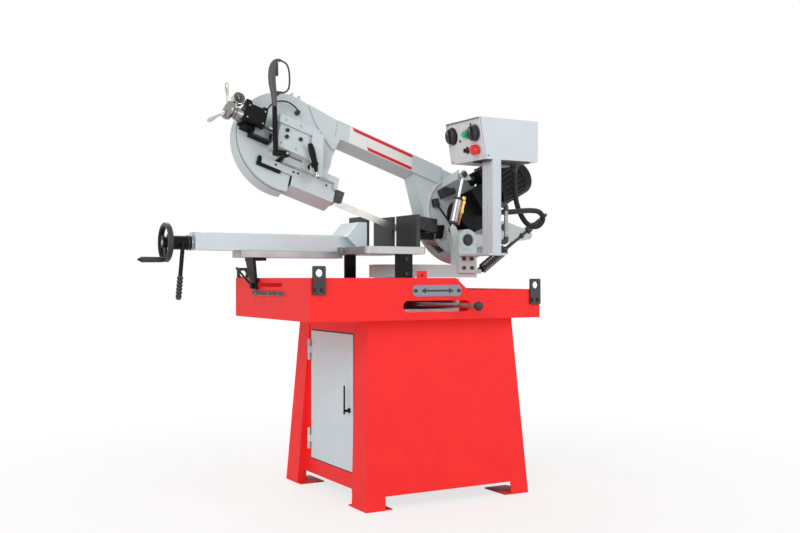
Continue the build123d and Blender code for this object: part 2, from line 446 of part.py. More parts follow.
# Table with the vice bed, its supports and jaws
CHANNEL_GAP = 5.0
with BuildPart() as vice_bed:
    span((TABLE_LEFT, TABLE_RIGHT), (TABLE_FRONT, TABLE_BACK), (TABLE_LOW, TABLE_TOP))
    fillet(vice_bed.edges().filter_by(Axis.Z), 8)
    span((TABLE_LEFT, TABLE_RIGHT), (SAW_Y - KERF_WIDTH / 2, SAW_Y + KERF_WIDTH / 2),
         (TABLE_TOP - KERF_DEPTH, TABLE_TOP), Mode.SUBTRACT)
    span((TABLE_LEFT, CHANNEL_END), (BEAM_FRONT - CHANNEL_GAP, BEAM_BACK + CHANNEL_GAP),
         (BED_TOP, TABLE_TOP),
         Mode.SUBTRACT)
    span((BED_LEFT, TABLE_LEFT + BASE_WALL), (BED_FRONT, BED_BACK), (BED_LOW, BED_TOP))
keep(vice_bed, "vice_bed")

SUPPORT_THICK, SUPPORT_INSET, SUPPORT_SHELF = 12.0, 8.0, 40.0
SUPPORT_FRONT_X, SUPPORT_BACK_X = (-82.0, -22.0), (-148.0, -96.0)
SUPPORT_TOE, SUPPORT_TOE_TOP = 23.0, 19.0
SUPPORT_FOOT = SLOT_Z + SLOT_HEIGHT
with BuildPart() as bed_supports:
    span(SUPPORT_FRONT_X, (TABLE_FRONT, TABLE_FRONT + SUPPORT_THICK), (SUPPORT_FOOT, TABLE_LOW))
    span((SUPPORT_FRONT_X[0], SUPPORT_FRONT_X[0] + SUPPORT_THICK), (TABLE_FRONT, BASE_FRONT),
         (SUPPORT_FOOT, TABLE_LOW))
    span(SUPPORT_BACK_X, (BASE_BACK + SUPPORT_THICK, BASE_BACK + 2 * SUPPORT_THICK), (FLOOR, TABLE_LOW))
    with BuildSketch(Plane.YZ.offset(TRAY_LEFT - RAIL_THICK)):
        Polygon((BED_FRONT + SUPPORT_INSET, BED_LOW), (BED_BACK - SUPPORT_INSET, BED_LOW),
                (BED_FRONT + SUPPORT_TOE, RAIL_Z + RAIL_HEIGHT),
                (BED_FRONT - SUPPORT_TOE, RAIL_Z + RAIL_HEIGHT),
                align=None)
    extrude(amount=-SUPPORT_THICK)
    span((TRAY_LEFT - RAIL_THICK - SUPPORT_THICK, TRAY_LEFT + SUPPORT_SHELF),
         (BED_FRONT + SUPPORT_INSET, BED_BACK - SUPPORT_INSET), (BED_LOW - SUPPORT_THICK, BED_LOW))
    span((TRAY_LEFT - RAIL_THICK, TRAY_LEFT), (BED_FRONT - SUPPORT_TOE_TOP, BED_FRONT + SUPPORT_TOE_TOP),
         (SIDE_SLOT_Z + SIDE_SLOT_HEIGHT, TRAY_TOP))
keep(bed_supports, "bed_supports")

bed_lock_hub = Vector(TRAY_LEFT - RAIL_THICK - SUPPORT_THICK, BED_LOCK_Y, RAIL_Z + BED_LOCK_RISE)
bed_lock_root = bed_lock_hub - Vector(BED_LOCK_HUB - BED_LOCK_R, 0, 0)
with BuildPart() as bed_lock_lever:
    rod(bed_lock_hub - Vector(SLIDE_GAP, 0, 0), bed_lock_hub - Vector(BED_LOCK_HUB, 0, 0), 2.4 * BED_LOCK_R)
    rod(bed_lock_root, bed_lock_root + Vector(-BED_LOCK_OUT, BED_LOCK_REACH, BED_LOCK_LIFT), BED_LOCK_R)
keep(bed_lock_lever, "bed_lock_lever")

with BuildPart() as fixed_jaws:
    for inner, turn in ((JAW_NEAR, -1), (JAW_FAR, 1)):
        with BuildSketch(Plane.XY.offset(TABLE_TOP)):
            Polygon((0, inner), (JAW_THICK - JAW_BEVEL, inner), (JAW_THICK, inner + turn * JAW_BEVEL),
                    (JAW_THICK, inner + turn * JAW_LENGTH), (0, inner + turn * JAW_LENGTH), align=None)
        extrude(amount=JAW_HEIGHT)
keep(fixed_jaws, "fixed_jaws")

# Vice: sliding beam with its jaw, screw, nut, handwheel and clamp lever
with BuildPart() as vice_beam:
    span((VICE_LEFT, CASTING_FACE - JAW_CASTING), (BEAM_FRONT, BEAM_BACK), (BED_TOP + SLIDE_GAP, BEAM_TOP))
    fillet(vice_beam.edges().filter_by(Axis.X).sort_by(Axis.Z)[-2:], 10)
    with BuildSketch(front(JAW_FAR)):
        Polygon((CASTING_FACE - 2 * JAW_CASTING, BEAM_TOP - 8),
                (CASTING_FACE - JAW_CASTING, TABLE_TOP + SLIDE_GAP),
                (CASTING_FACE, TABLE_TOP + SLIDE_GAP), (CASTING_FACE, TABLE_TOP + 0.8 * JAW_HEIGHT),
                (CASTING_FACE - 0.8 * JAW_CASTING, TABLE_TOP + 0.8 * JAW_HEIGHT), align=None)
    extrude(amount=-JAW_LENGTH)
    span((VICE_LEFT + BEAM_WALL, CASTING_FACE - JAW_CASTING - BEAM_WALL),
         (BEAM_FRONT + BEAM_WALL, BEAM_BACK - BEAM_WALL),
         (BED_TOP + SLIDE_GAP, BEAM_TOP - BEAM_WALL), Mode.SUBTRACT)
    rod((VICE_LEFT, VICE_Y, SCREW_Z), (VICE_LEFT + BEAM_WALL, VICE_Y, SCREW_Z), SCREW_R + RUN_FIT,
        Mode.SUBTRACT)
keep(vice_beam, "vice_beam")

with BuildPart() as moving_jaw:
    span((CASTING_FACE, JAW_FACE), (JAW_FAR, JAW_FAR + JAW_LENGTH),
         (TABLE_TOP + SLIDE_GAP, TABLE_TOP + JAW_HEIGHT))
keep(moving_jaw, "moving_jaw")

with BuildPart() as vice_nut:
    span((NUT_X - NUT_LENGTH / 2, NUT_X + NUT_LENGTH / 2), (VICE_Y - NUT_WIDTH / 2, VICE_Y + NUT_WIDTH / 2),
         (BED_TOP, SCREW_Z + 1.7 * SCREW_R))
    rod((NUT_X - NUT_LENGTH, VICE_Y, SCREW_Z), (NUT_X + NUT_LENGTH, VICE_Y, SCREW_Z), SCREW_R + RUN_FIT,
        Mode.SUBTRACT)
keep(vice_nut, "vice_nut")

WHEEL_HUB, WHEEL_HUB_R = 28.0, 20.0
with BuildPart() as vice_screw:
    rod((HANDWHEEL_X - WHEEL_HUB / 2, VICE_Y, SCREW_Z), (SCREW_END, VICE_Y, SCREW_Z), SCREW_R)
keep(vice_screw, "vice_screw")

CRANK_OFFSET = HANDWHEEL_R - RIM_R
HANDWHEEL = Plane(origin=(HANDWHEEL_X, VICE_Y, SCREW_Z), x_dir=(0, -1, 0), z_dir=(-1, 0, 0))
with BuildPart(HANDWHEEL) as handwheel:
    Torus(CRANK_OFFSET, RIM_R)
    for turn in (30, 150, 270):
        with Locations(Rotation(0, 0, turn)):
            Box(CRANK_OFFSET, 2 * RIM_R, RIM_R, align=(Align.MIN, Align.CENTER, Align.CENTER))
    Cylinder(WHEEL_HUB_R, WHEEL_HUB)
    Cylinder(SCREW_R, 2 * WHEEL_HUB, mode=Mode.SUBTRACT)
    with Locations((0, -CRANK_OFFSET, 0)):
        Cylinder(CRANK_PIN_R, CRANK_GRIP + 2 * RIM_R, align=UP)
keep(handwheel, "handwheel")

with BuildPart(HANDWHEEL) as crank_grip:
    with Locations((0, -CRANK_OFFSET, RIM_R + 2 * SLIDE_GAP)):
        Cylinder(CRANK_GRIP_R, CRANK_GRIP, align=UP)
        Cylinder(CRANK_PIN_R + RUN_FIT, 2 * CRANK_GRIP, mode=Mode.SUBTRACT)
keep(crank_grip, "crank_grip")

CLAMP_RIGHT = VICE_LEFT - SLIDE_GAP
CLAMP_LEFT = HANDWHEEL_X + WHEEL_HUB / 2 + SLIDE_GAP
CLAMP_X = (CLAMP_LEFT + CLAMP_RIGHT) / 2
with BuildPart() as vice_clamp:
    rod((CLAMP_LEFT, VICE_Y, SCREW_Z), (CLAMP_RIGHT, VICE_Y, SCREW_Z), CLAMP_HUB_R)
    rod((CLAMP_X, VICE_Y - CLAMP_HUB_R, SCREW_Z),
        (CLAMP_X - CLAMP_LEVER_OUT, VICE_Y - CLAMP_HUB_R - CLAMP_LEVER_REACH, SCREW_Z - CLAMP_LEVER_DROP),
        CLAMP_LEVER_R)
    rod((CLAMP_LEFT, VICE_Y, SCREW_Z), (CLAMP_RIGHT, VICE_Y, SCREW_Z), SCREW_R + RUN_FIT, Mode.SUBTRACT)
keep(vice_clamp, "vice_clamp")

# Swivel arm: hub, bar, bearing block for the bow pivot, cylinder ears and spring lug
PEDESTAL_LEFT, PEDESTAL_RIGHT = PIVOT_X - BEARING_R, PIVOT_X + BEARING_R
EAR_THICK, EAR_R = 7.0, 16.0
EAR_GAP = FEED_EYE_HALF + 2 * SLIDE_GAP
LUG_X, LUG_DEPTH, LUG_HALF = SPRING_LUG_X + 8, 18.0, 9.0
with BuildPart() as swivel_arm:
    with BuildSketch(Plane.XY.offset(ARM_LOW)):
        with Locations((0, SAW_Y)):
            Circle(HUB_R)
        Polygon((-0.3 * HUB_R, SAW_Y - 0.95 * HUB_R), (PEDESTAL_LEFT, BEARING_FRONT),
                (PEDESTAL_RIGHT, BEARING_FRONT),
                (PEDESTAL_RIGHT, BEARING_BACK), (PEDESTAL_LEFT, BEARING_BACK),
                (0.9 * HUB_R, SAW_Y + 0.3 * HUB_R),
                (0, SAW_Y), align=None)
        with Locations((0, SAW_Y)):
            Circle(KINGPIN_R + RUN_FIT, mode=Mode.SUBTRACT)
    extrude(amount=ARM_TOP - ARM_LOW)
    with BuildSketch(front(BEARING_BACK)):
        with Locations((PIVOT_X, PIVOT_Z)):
            Circle(BEARING_R)
        Polygon((PEDESTAL_LEFT, ARM_TOP), (PEDESTAL_RIGHT, ARM_TOP), (PEDESTAL_RIGHT, PIVOT_Z),
                (PEDESTAL_LEFT, PIVOT_Z),
                align=None)
    extrude(amount=BEARING_BACK - BEARING_FRONT)
    for y in (FEED_Y - EAR_GAP, FEED_Y + EAR_GAP + EAR_THICK):
        with BuildSketch(front(y)):
            with Locations((FEED_LOW_X, FEED_LOW_Z)):
                Circle(EAR_R)
            Polygon((FEED_LOW_X - EAR_R, FEED_LOW_Z), (FEED_LOW_X + EAR_R, FEED_LOW_Z), (PIVOT_X, PIVOT_Z),
                    (PEDESTAL_LEFT, PIVOT_Z - BEARING_R), align=None)
        extrude(amount=EAR_THICK)
    span((PEDESTAL_RIGHT - LUG_DEPTH, LUG_X), (SPRING_Y - 2 * LUG_HALF, SPRING_Y + LUG_HALF),
         (SPRING_LUG_Z - SPRING_WIRE - LUG_DEPTH, SPRING_LUG_Z - SPRING_WIRE))
    rod((FEED_LOW_X, FEED_Y - EAR_GAP - EAR_THICK, FEED_LOW_Z),
        (FEED_LOW_X, FEED_Y + EAR_GAP + EAR_THICK, FEED_LOW_Z),
        FEED_PIN_R)
    rod((PIVOT_X, BEARING_FRONT, PIVOT_Z), (PIVOT_X, BEARING_BACK, PIVOT_Z), PIVOT_SHAFT_R + RUN_FIT,
        Mode.SUBTRACT)
keep(swivel_arm, "swivel_arm")

# Bracket and plate that carry the control post
with BuildPart() as post_bracket:
    span((PEDESTAL_LEFT - POST_WALL, PEDESTAL_RIGHT - 2 * POST_WALL),
         (BEARING_FRONT - BRACKET_THICK, BEARING_FRONT),
         (BRACKET_LOW, POST_FOOT))
    with BuildSketch(Plane.XY.offset(POST_FOOT - POST_PLATE)):
        Polygon((POST_LEFT - PLATE_MARGIN, POST_FRONT - PLATE_LIP),
                (POST_RIGHT + PLATE_MARGIN, POST_FRONT - PLATE_LIP),
                (PEDESTAL_RIGHT - 2 * POST_WALL, BEARING_FRONT - BRACKET_THICK),
                (PEDESTAL_LEFT - POST_WALL, BEARING_FRONT - BRACKET_THICK), align=None)
    extrude(amount=POST_PLATE)
keep(post_bracket, "post_bracket")

with BuildPart() as control_post:
    span((POST_LEFT, POST_RIGHT), (POST_FRONT, POST_BACK), (POST_FOOT, BOX_LOW))
    fillet(control_post.edges().filter_by(Axis.Z), POST_WALL)
    span((POST_LEFT + POST_WALL, POST_RIGHT - POST_WALL), (POST_FRONT + POST_WALL, POST_BACK - POST_WALL),
         (POST_FOOT, BOX_LOW), Mode.SUBTRACT)
keep(control_post, "control_post")

# Control box, panel and switches
def box_outline(inset):
    """Side outline of the control box, with its panel edge leaning in towards the bottom."""
    Polygon((BOX_LOW_X + inset, BOX_LOW + inset), (BOX_RIGHT - inset, BOX_LOW + inset),
            (BOX_RIGHT - inset, BOX_HIGH - inset), (BOX_TOP_X + inset, BOX_HIGH - inset), align=None)


panel_lean = atan2(BOX_LOW_X - BOX_TOP_X, BOX_HIGH - BOX_LOW)
PANEL = Plane(
    origin=((BOX_TOP_X + BOX_LOW_X) / 2, (BOX_FRONT + BOX_BACK) / 2, (BOX_LOW + BOX_HIGH) / 2),
    x_dir=(0, -1, 0),
    z_dir=(-cos(panel_lean), 0, -sin(panel_lean)),
)
PANEL_WIDTH, PANEL_HEIGHT = BOX_BACK - BOX_FRONT, (BOX_HIGH - BOX_LOW) / cos(panel_lean)
PANEL_LIP = 10.0
with BuildPart() as control_box:
    with BuildSketch(front(BOX_BACK)):
        box_outline(0)
    extrude(amount=PANEL_WIDTH)
    with BuildSketch(front(BOX_BACK - BOX_WALL)):
        box_outline(BOX_WALL)
    extrude(amount=PANEL_WIDTH - 2 * BOX_WALL, mode=Mode.SUBTRACT)
    with BuildSketch(PANEL.offset(-PANEL_LIP)):
        Rectangle(PANEL_WIDTH - 2 * PANEL_LIP, PANEL_HEIGHT - 2 * PANEL_LIP)
    extrude(amount=2 * PANEL_LIP, mode=Mode.SUBTRACT)
keep(control_box, "control_box")

# Place across and up the panel, radius and height of each control
CONTROLS = {
    "main_switch": (-90.0, 30.0, 31.0, 18.0),
    "start_button": (15.0, 27.0, 14.0, 12.0),
    "speed_switch": (75.0, 25.0, 30.0, 20.0),
    "stop_button": (80.0, -42.0, 20.0, 22.0),
    "mode_switch": (5.0, -38.0, 9.0, 14.0),
}
with BuildPart() as control_panel:
    with BuildSketch(PANEL):
        Rectangle(PANEL_WIDTH, PANEL_HEIGHT)
        for x, y, _, _ in CONTROLS.values():
            with Locations((x, y)):
                Circle(STEM_R + RUN_FIT, mode=Mode.SUBTRACT)
    extrude(amount=PANEL_THICK)
keep(control_panel, "control_panel")

for name, (x, y, radius, height) in CONTROLS.items():
    gap = SLIDE_GAP + (BUTTON_TRAVEL if name.endswith("button") else 0)
    with BuildPart(PANEL) as control:
        with Locations((x, y, -2 * PANEL_LIP)):
            Cylinder(STEM_R, 2 * PANEL_LIP + PANEL_THICK + gap, align=UP)
        with Locations((x, y, PANEL_THICK + gap)):
            Cylinder(radius, height, align=UP)
    keep(control, name)

# Conduit
with BuildPart() as motor_conduit:
    corners = [Vector(point) for point in CONDUIT_POINTS]
    radii = []
    for before, corner, after in zip(corners, corners[1:], corners[2:]):
        turn = radians((corner - before).get_angle(after - corner))
        reach = 0.45 * min((corner - before).length, (after - corner).length)
        radii.append(reach * cos(turn / 2) / sin(turn / 2))
    with BuildLine() as route:
        FilletPolyline(*corners, radius=radii)
    with BuildSketch(Plane(origin=corners[0], z_dir=corners[1] - corners[0])):
        Circle(CONDUIT_R)
    sweep(path=route.line)
keep(motor_conduit, "motor_conduit")
print("conduit radii", [round(radius) for radius in radii])


# Bow frame: beam, idler plate, drive housing, fixed guard and pivot boss
def idler_outline(inset=0.0):
    """Idler end: round on the left, running into the beam on the right, cut back over the guard."""
    with Locations((IDLER_X, WHEEL_R)):
        Circle(IDLER_CASE_R - inset)
    with Locations((GUARD_EDGE - inset, GUARD_TOP + inset)):
        Rectangle(2 * IDLER_CASE_R, 2 * IDLER_CASE_R, align=(Align.MIN, Align.MAX), mode=Mode.SUBTRACT)
    Polygon((IDLER_X, WHEEL_R + IDLER_CASE_R - inset), (BEAM_LEFT, BEAM_HIGH - inset),
            (IDLER_X + CHEEK_HIGH_REACH - inset, BEAM_LOW + CHEEK_RISE),
            (IDLER_X + CHEEK_REACH - inset, CHEEK_MIDDLE),
            (IDLER_X + CHEEK_LOW_REACH - inset, GUARD_TOP + inset), (IDLER_X, GUARD_TOP + inset), align=None)


def drive_outline(inset=0.0):
    """Drive end: round on the right, with a neck up to the beam."""
    with Locations((DRIVE_X, WHEEL_R)):
        Circle(DRIVE_CASE_R - inset)
    Polygon((DRIVE_X, WHEEL_R + DRIVE_CASE_R - inset), (NECK_X + inset, BEAM_HIGH - inset),
            (NECK_X + inset, BEAM_LOW),
            (CASE_LEFT - NECK_KNEE + inset, NECK_V), (NECK_EDGE + inset, NECK_LOW + inset),
            (DRIVE_X, WHEEL_R - DRIVE_CASE_R + inset), align=None)


BLADE_LOW = -BLADE_GAP - BLADE_THICK / 2
BLADE_HIGH = 2 * WHEEL_R + BLADE_GAP + BLADE_THICK / 2
BLADE_ROOM = 25.0
boss_front = Vector(PIVOT_X, TAIL_FRONT + TAIL_THICK, PIVOT_Z)
boss_back = Vector(PIVOT_X, BOSS_BACK, PIVOT_Z)
FEED_LUG_HALF, FEED_LUG_HIGH = 17.0, 22.0
feed_top = BOW.to_local_coords(Vector(FEED_HIGH_X, FEED_Y, FEED_HIGH_Z))
feed_pin_end = BOW.to_local_coords(Vector(FEED_HIGH_X, FEED_Y - 1.5 * FEED_EYE_HALF, FEED_HIGH_Z))
feed_pin_root = BOW.to_local_coords(Vector(FEED_HIGH_X, FEED_Y + 5 * FEED_EYE_HALF, FEED_HIGH_Z))
FEED_LUG_END = feed_top.Z - FEED_EYE_HALF - 8.0
IDLER_HINGE = (IDLER_X, WHEEL_R + IDLER_CASE_R + COVER_HINGE_RISE, PLATE_BACK - 12.0)
DRIVE_HINGE = (DRIVE_X, WHEEL_R + DRIVE_CASE_R + COVER_HINGE_RISE, CASE_BACK)
LUG_INNER = COVER_KNUCKLE / 2 + SLIDE_GAP
with BuildPart(BOW) as bow_frame:
    bow_plate(idler_outline, PLATE_BACK, PLATE_FRONT)
    bow_plate(drive_outline, CASE_BACK, PLATE_FRONT)
    bow_plate(lambda: drive_outline(CAST_WALL), CASE_BACK, PLATE_BACK, Mode.SUBTRACT)
    span((BEAM_LEFT, BEAM_RIGHT), (BEAM_LOW, BEAM_HIGH), (-BEAM_HALF, BEAM_HALF))
    span((BEAM_LEFT - BEAM_HALF, DRIVE_X), (BEAM_LOW + CAST_WALL, BEAM_HIGH - CAST_WALL),
         (-BEAM_HALF + CAST_WALL, PLATE_BACK), Mode.SUBTRACT)
    span((2 * FIXED_GUIDE_LEFT, DRIVE_X), (BLADE_LOW - BLADE_ROOM, BLADE_LOW + BLADE_ROOM),
         (-BLADE_ROOM, PLATE_BACK), Mode.SUBTRACT)
    span((feed_top.X - FEED_LUG_HALF, feed_top.X + FEED_LUG_HALF),
         (feed_top.Y - FEED_LUG_HIGH, feed_top.Y + FEED_LUG_HIGH),
         (PLATE_FRONT, FEED_LUG_END))
    rod(feed_pin_root, feed_pin_end, FEED_PIN_R)
    with Locations((IDLER_X, WHEEL_R, PLATE_FRONT)):
        Box(4 * AXLE_R + 2 * TENSION_TRAVEL, 3 * AXLE_R, 4 * CAST_WALL, mode=Mode.SUBTRACT)
    with Locations((DRIVE_X, WHEEL_R, PLATE_FRONT)):
        Cylinder(AXLE_R + 1, 4 * CAST_WALL, mode=Mode.SUBTRACT)
    for (x, v, w), depth in ((IDLER_HINGE, PLATE_FRONT), (DRIVE_HINGE, 0)):
        for side in (-1, 1):
            sides = sorted((x + side * LUG_INNER, x + side * (LUG_INNER + COVER_LUG)))
            rod((sides[0], v, w), (sides[1], v, w), COVER_KNUCKLE_R)
            span(sides, (v - COVER_KNUCKLE_R, v + COVER_KNUCKLE_R), (w, max(w + COVER_KNUCKLE_R, depth)))
            root = max(w + SLIDE_GAP, depth - PLATE_FRONT + PLATE_BACK) if depth else w
            span(sides, (v - 3 * COVER_KNUCKLE_R, v), (root, max(w + COVER_KNUCKLE_R, depth)))
        rod((x - LUG_INNER, v, w), (x + LUG_INNER, v, w), COVER_PIN_R)
    rod(BOW.to_local_coords(boss_back), BOW.to_local_coords(boss_front), BOSS_R)
    rod(BOW.to_local_coords(boss_back), BOW.to_local_coords(boss_front), PIVOT_SHAFT_R, Mode.SUBTRACT)
keep(bow_frame, "bow_frame")

with BuildPart() as pivot_shaft:
    rod((PIVOT_X, BEARING_FRONT - SLIDE_GAP, PIVOT_Z), (PIVOT_X, BOSS_BACK, PIVOT_Z), PIVOT_SHAFT_R)
keep(pivot_shaft, "pivot_shaft")

with BuildPart() as tail_bracket:
    with BuildSketch(front(TAIL_FRONT + TAIL_THICK)):
        with Locations((PIVOT_X, PIVOT_Z)):
            Circle(BOSS_R)
        with Locations((TAIL_X, TAIL_Z)):
            Circle(TAIL_R)
        Polygon((PIVOT_X, PIVOT_Z + BOSS_R), (PIVOT_X + TAIL_NECK, PIVOT_Z + TAIL_WAIST),
                (PIVOT_X + TAIL_STEP, PIVOT_Z + TAIL_WAIST),
                (PIVOT_X + TAIL_CREST, PIVOT_Z + TAIL_CREST_RISE),
                (PIVOT_X + TAIL_CREST_END, PIVOT_Z + TAIL_CREST_RISE), (TAIL_X, TAIL_Z + TAIL_R),
                (TAIL_X, TAIL_Z - TAIL_R), (PIVOT_X, PIVOT_Z - BOSS_R), align=None)
        with Locations((PIVOT_X, PIVOT_Z)):
            Circle(PIVOT_SHAFT_R, mode=Mode.SUBTRACT)
    extrude(amount=TAIL_THICK)
    spring_axis = Vector(SPRING_HIGH_X - SPRING_LOW_X, 0, SPRING_HIGH_Z - SPRING_LOW_Z).normalized()
    spring_top = Vector(SPRING_HIGH_X, SPRING_Y, SPRING_HIGH_Z)
    rod(spring_top, spring_top + spring_axis * SPRING_ROD_LENGTH, SPRING_ROD_R)
keep(tail_bracket, "tail_bracket")

with BuildPart() as return_spring:
    spring_low = Vector(SPRING_LOW_X, SPRING_Y, SPRING_LOW_Z)
    rod(spring_low, spring_top - spring_axis * SLIDE_GAP, SPRING_R)
    rod(spring_low + spring_axis * SPRING_WIRE, spring_top, SPRING_R - SPRING_WIRE, Mode.SUBTRACT)
    rod(spring_low + spring_axis, (SPRING_LUG_X, SPRING_Y, SPRING_LUG_Z), SPRING_WIRE / 2)
keep(return_spring, "return_spring")

# Wheel covers, each hung from a knuckle at its top
def hinge_knuckle(place, low, depth):
    """Knuckle on its pin, with a leaf down to the cover."""
    x, v, w = place
    sides = (x - COVER_KNUCKLE / 2, x + COVER_KNUCKLE / 2)
    rod((sides[0], v, w), (sides[1], v, w), COVER_KNUCKLE_R)
    span(sides, (low, v), depth)
    rod((sides[0], v, w), (sides[1], v, w), COVER_PIN_R + RUN_FIT, Mode.SUBTRACT)


COVER_EDGE = PLATE_BACK - SLIDE_GAP
DRIVE_COVER_FRONT = CASE_BACK - SLIDE_GAP
DRIVE_COVER_BACK = DRIVE_COVER_FRONT - DRIVE_COVER_DEPTH
with BuildPart(BOW) as idler_cover:
    bow_plate(idler_outline, COVER_BACK, COVER_EDGE)
    bow_plate(lambda: idler_outline(COVER_SKIN), COVER_BACK + COVER_SKIN, PLATE_BACK, Mode.SUBTRACT)
    span((GUARD_EDGE - 2 * COVER_SKIN, 0), (-IDLER_CASE_R, GUARD_TOP + 2 * COVER_SKIN),
         (COVER_BACK + COVER_SKIN, PLATE_BACK), Mode.SUBTRACT)
    span((BEAM_LEFT - SLIDE_GAP, 0), (BEAM_LOW - BLADE_ROOM, BEAM_HIGH + BLADE_ROOM),
         (COVER_BACK, PLATE_BACK),
         Mode.SUBTRACT)
    hinge_knuckle(IDLER_HINGE, WHEEL_R + IDLER_CASE_R - COVER_SKIN, (0, IDLER_HINGE[2] + COVER_KNUCKLE_R))
keep(idler_cover, "idler_cover")

with BuildPart(BOW) as drive_cover:
    bow_plate(drive_outline, DRIVE_COVER_BACK, DRIVE_COVER_FRONT)
    bow_plate(lambda: drive_outline(COVER_SKIN), DRIVE_COVER_BACK + COVER_SKIN, CASE_BACK, Mode.SUBTRACT)
    span((BEAM_LEFT, NECK_X + 3 * BLADE_ROOM), (0, BEAM_HIGH + BLADE_ROOM), (2 * CASE_BACK, 0),
         Mode.SUBTRACT)
    hinge_knuckle(DRIVE_HINGE, WHEEL_R + DRIVE_CASE_R - COVER_SKIN,
                  (DRIVE_COVER_FRONT - COVER_KNUCKLE_R, DRIVE_COVER_FRONT))
keep(drive_cover, "drive_cover")


# Band wheels, drive shaft
def band_wheel(x, bore):
    """Rim, thinner web with five holes, hub and bore."""
    with Locations((x, WHEEL_R, 0)):
        Cylinder(WHEEL_R, WHEEL_WIDTH)
    for side in (-1, 1):
        with Locations((x, WHEEL_R, side * (WHEEL_WIDTH / 2 - 5))):
            Cylinder(WHEEL_R - 16, 10, mode=Mode.SUBTRACT)
    with Locations((x, WHEEL_R, 0)):
        Cylinder(3 * AXLE_R, WHEEL_WIDTH)
        Cylinder(bore, 2 * WHEEL_WIDTH, mode=Mode.SUBTRACT)
        with PolarLocations(0.6 * WHEEL_R, 5):
            Cylinder(WHEEL_R / 7, 2 * WHEEL_WIDTH, mode=Mode.SUBTRACT)


with BuildPart(BOW) as idler_wheel:
    band_wheel(IDLER_X, AXLE_R + RUN_FIT)
keep(idler_wheel, "idler_wheel")

with BuildPart(BOW) as drive_wheel:
    band_wheel(DRIVE_X, AXLE_R)
keep(drive_wheel, "drive_wheel")

with BuildPart(BOW) as drive_shaft:
    with Locations((DRIVE_X, WHEEL_R, -WHEEL_WIDTH / 2)):
        Cylinder(AXLE_R, WHEEL_WIDTH / 2 + GEARBOX_FRONT - GEARBOX_WALL - SLIDE_GAP, align=UP)
    with Locations((DRIVE_X, WHEEL_R, PLATE_FRONT + GEARBOX_WALL + 2)):
        Cylinder(WORM_WHEEL_R, WORM_WHEEL, align=UP)
keep(drive_shaft, "drive_shaft")


# Blade: two wraps, a straight back run, and a front run turned edge-down between the guides
def blade_section(x, turn):
    """Blade cross-section at x, turned about the blade's length out of the wheel plane."""
    across = Vector(BOW.z_dir) * cos(radians(turn)) + Vector(BOW.y_dir) * sin(radians(turn))
    with BuildSketch(Plane(origin=BOW.from_local_coords((x, BLADE_LOW, 0)), x_dir=across,
                           z_dir=ALONG)) as section:
        Rectangle(BLADE_WIDTH, BLADE_THICK)
    return section.sketch.face()


def wrap_outline(x, side):
    """Half ring of blade round a wheel."""
    with Locations((x, WHEEL_R)):
        Circle(WHEEL_R + BLADE_GAP + BLADE_THICK)
        Circle(WHEEL_R + BLADE_GAP, mode=Mode.SUBTRACT)
        Rectangle(2 * WHEEL_R, 4 * WHEEL_R, align=(Align.MIN if side < 0 else Align.MAX, Align.CENTER),
                  mode=Mode.SUBTRACT)


EDGE_TURN = 90.0 - LEAN
TWIST_STEPS = 4
with BuildPart(BOW) as saw_blade:
    for x, side in ((IDLER_X, -1), (DRIVE_X, 1)):
        bow_plate(lambda: wrap_outline(x, side), -BLADE_WIDTH / 2, BLADE_WIDTH / 2)
    span((IDLER_X, DRIVE_X), (BLADE_HIGH - BLADE_THICK / 2, BLADE_HIGH + BLADE_THICK / 2),
         (-BLADE_WIDTH / 2, BLADE_WIDTH / 2))
    for start, end, first, last in (
        (IDLER_X, IDLER_X + FLAT_RUN, 0, 0), (IDLER_X + FLAT_RUN, TWIST_IN, 0, EDGE_TURN),
        (TWIST_IN, TWIST_OUT, EDGE_TURN, EDGE_TURN), (TWIST_OUT, DRIVE_X - FLAT_RUN, EDGE_TURN, 0),
        (DRIVE_X - FLAT_RUN, DRIVE_X, 0, 0),
    ):
        steps = TWIST_STEPS if first != last else 1
        for step in range(steps):
            near, far = step / steps, (step + 1) / steps
            loft([blade_section(start + (end - start) * share,
                                first + (last - first) * share) for share in (near, far)],
                 ruled=True)
keep(saw_blade, "saw_blade")

# Gearbox and motor
turn45 = radians(MOTOR_TURN)
MOTOR_DIR = BOW.x_dir * cos(turn45) + BOW.y_dir * sin(turn45)
MOTOR = Plane(origin=BOW.from_local_coords((MOTOR_X, MOTOR_V, MOTOR_W)), x_dir=BOW.z_dir, z_dir=MOTOR_DIR)


def adapter_outline(inset=0.0):
    """Square shoulder of the gearbox, reaching to the motor's face."""
    half = ADAPTER_HALF - inset
    corners = []
    for reach, side in ((-MOTOR_R, -half), (-MOTOR_R, half), (MOTOR_START - inset, half),
                        (MOTOR_START - inset, -half)):
        corners.append((MOTOR_X + reach * cos(turn45) - side * sin(turn45),
                        MOTOR_V + reach * sin(turn45) + side * cos(turn45)))
    Polygon(*corners, align=None)


def gearbox_outline(inset=0.0):
    """Round worm wheel housing with the shoulder towards the motor."""
    with Locations((DRIVE_X, WHEEL_R)):
        Circle(GEARBOX_R - inset)
    adapter_outline(inset)


with BuildPart(BOW) as gearbox:
    bow_plate(gearbox_outline, PLATE_FRONT, GEARBOX_FRONT)
    bow_plate(adapter_outline, GEARBOX_FRONT, ADAPTER_FRONT)
    bow_plate(lambda: gearbox_outline(GEARBOX_WALL), PLATE_FRONT + GEARBOX_WALL,
              GEARBOX_FRONT - GEARBOX_WALL,
              Mode.SUBTRACT)
    with Locations((DRIVE_X, WHEEL_R, PLATE_FRONT)):
        Cylinder(AXLE_R + RUN_FIT, 2 * GEARBOX_WALL, align=UP, mode=Mode.SUBTRACT)
keep(gearbox, "gearbox")

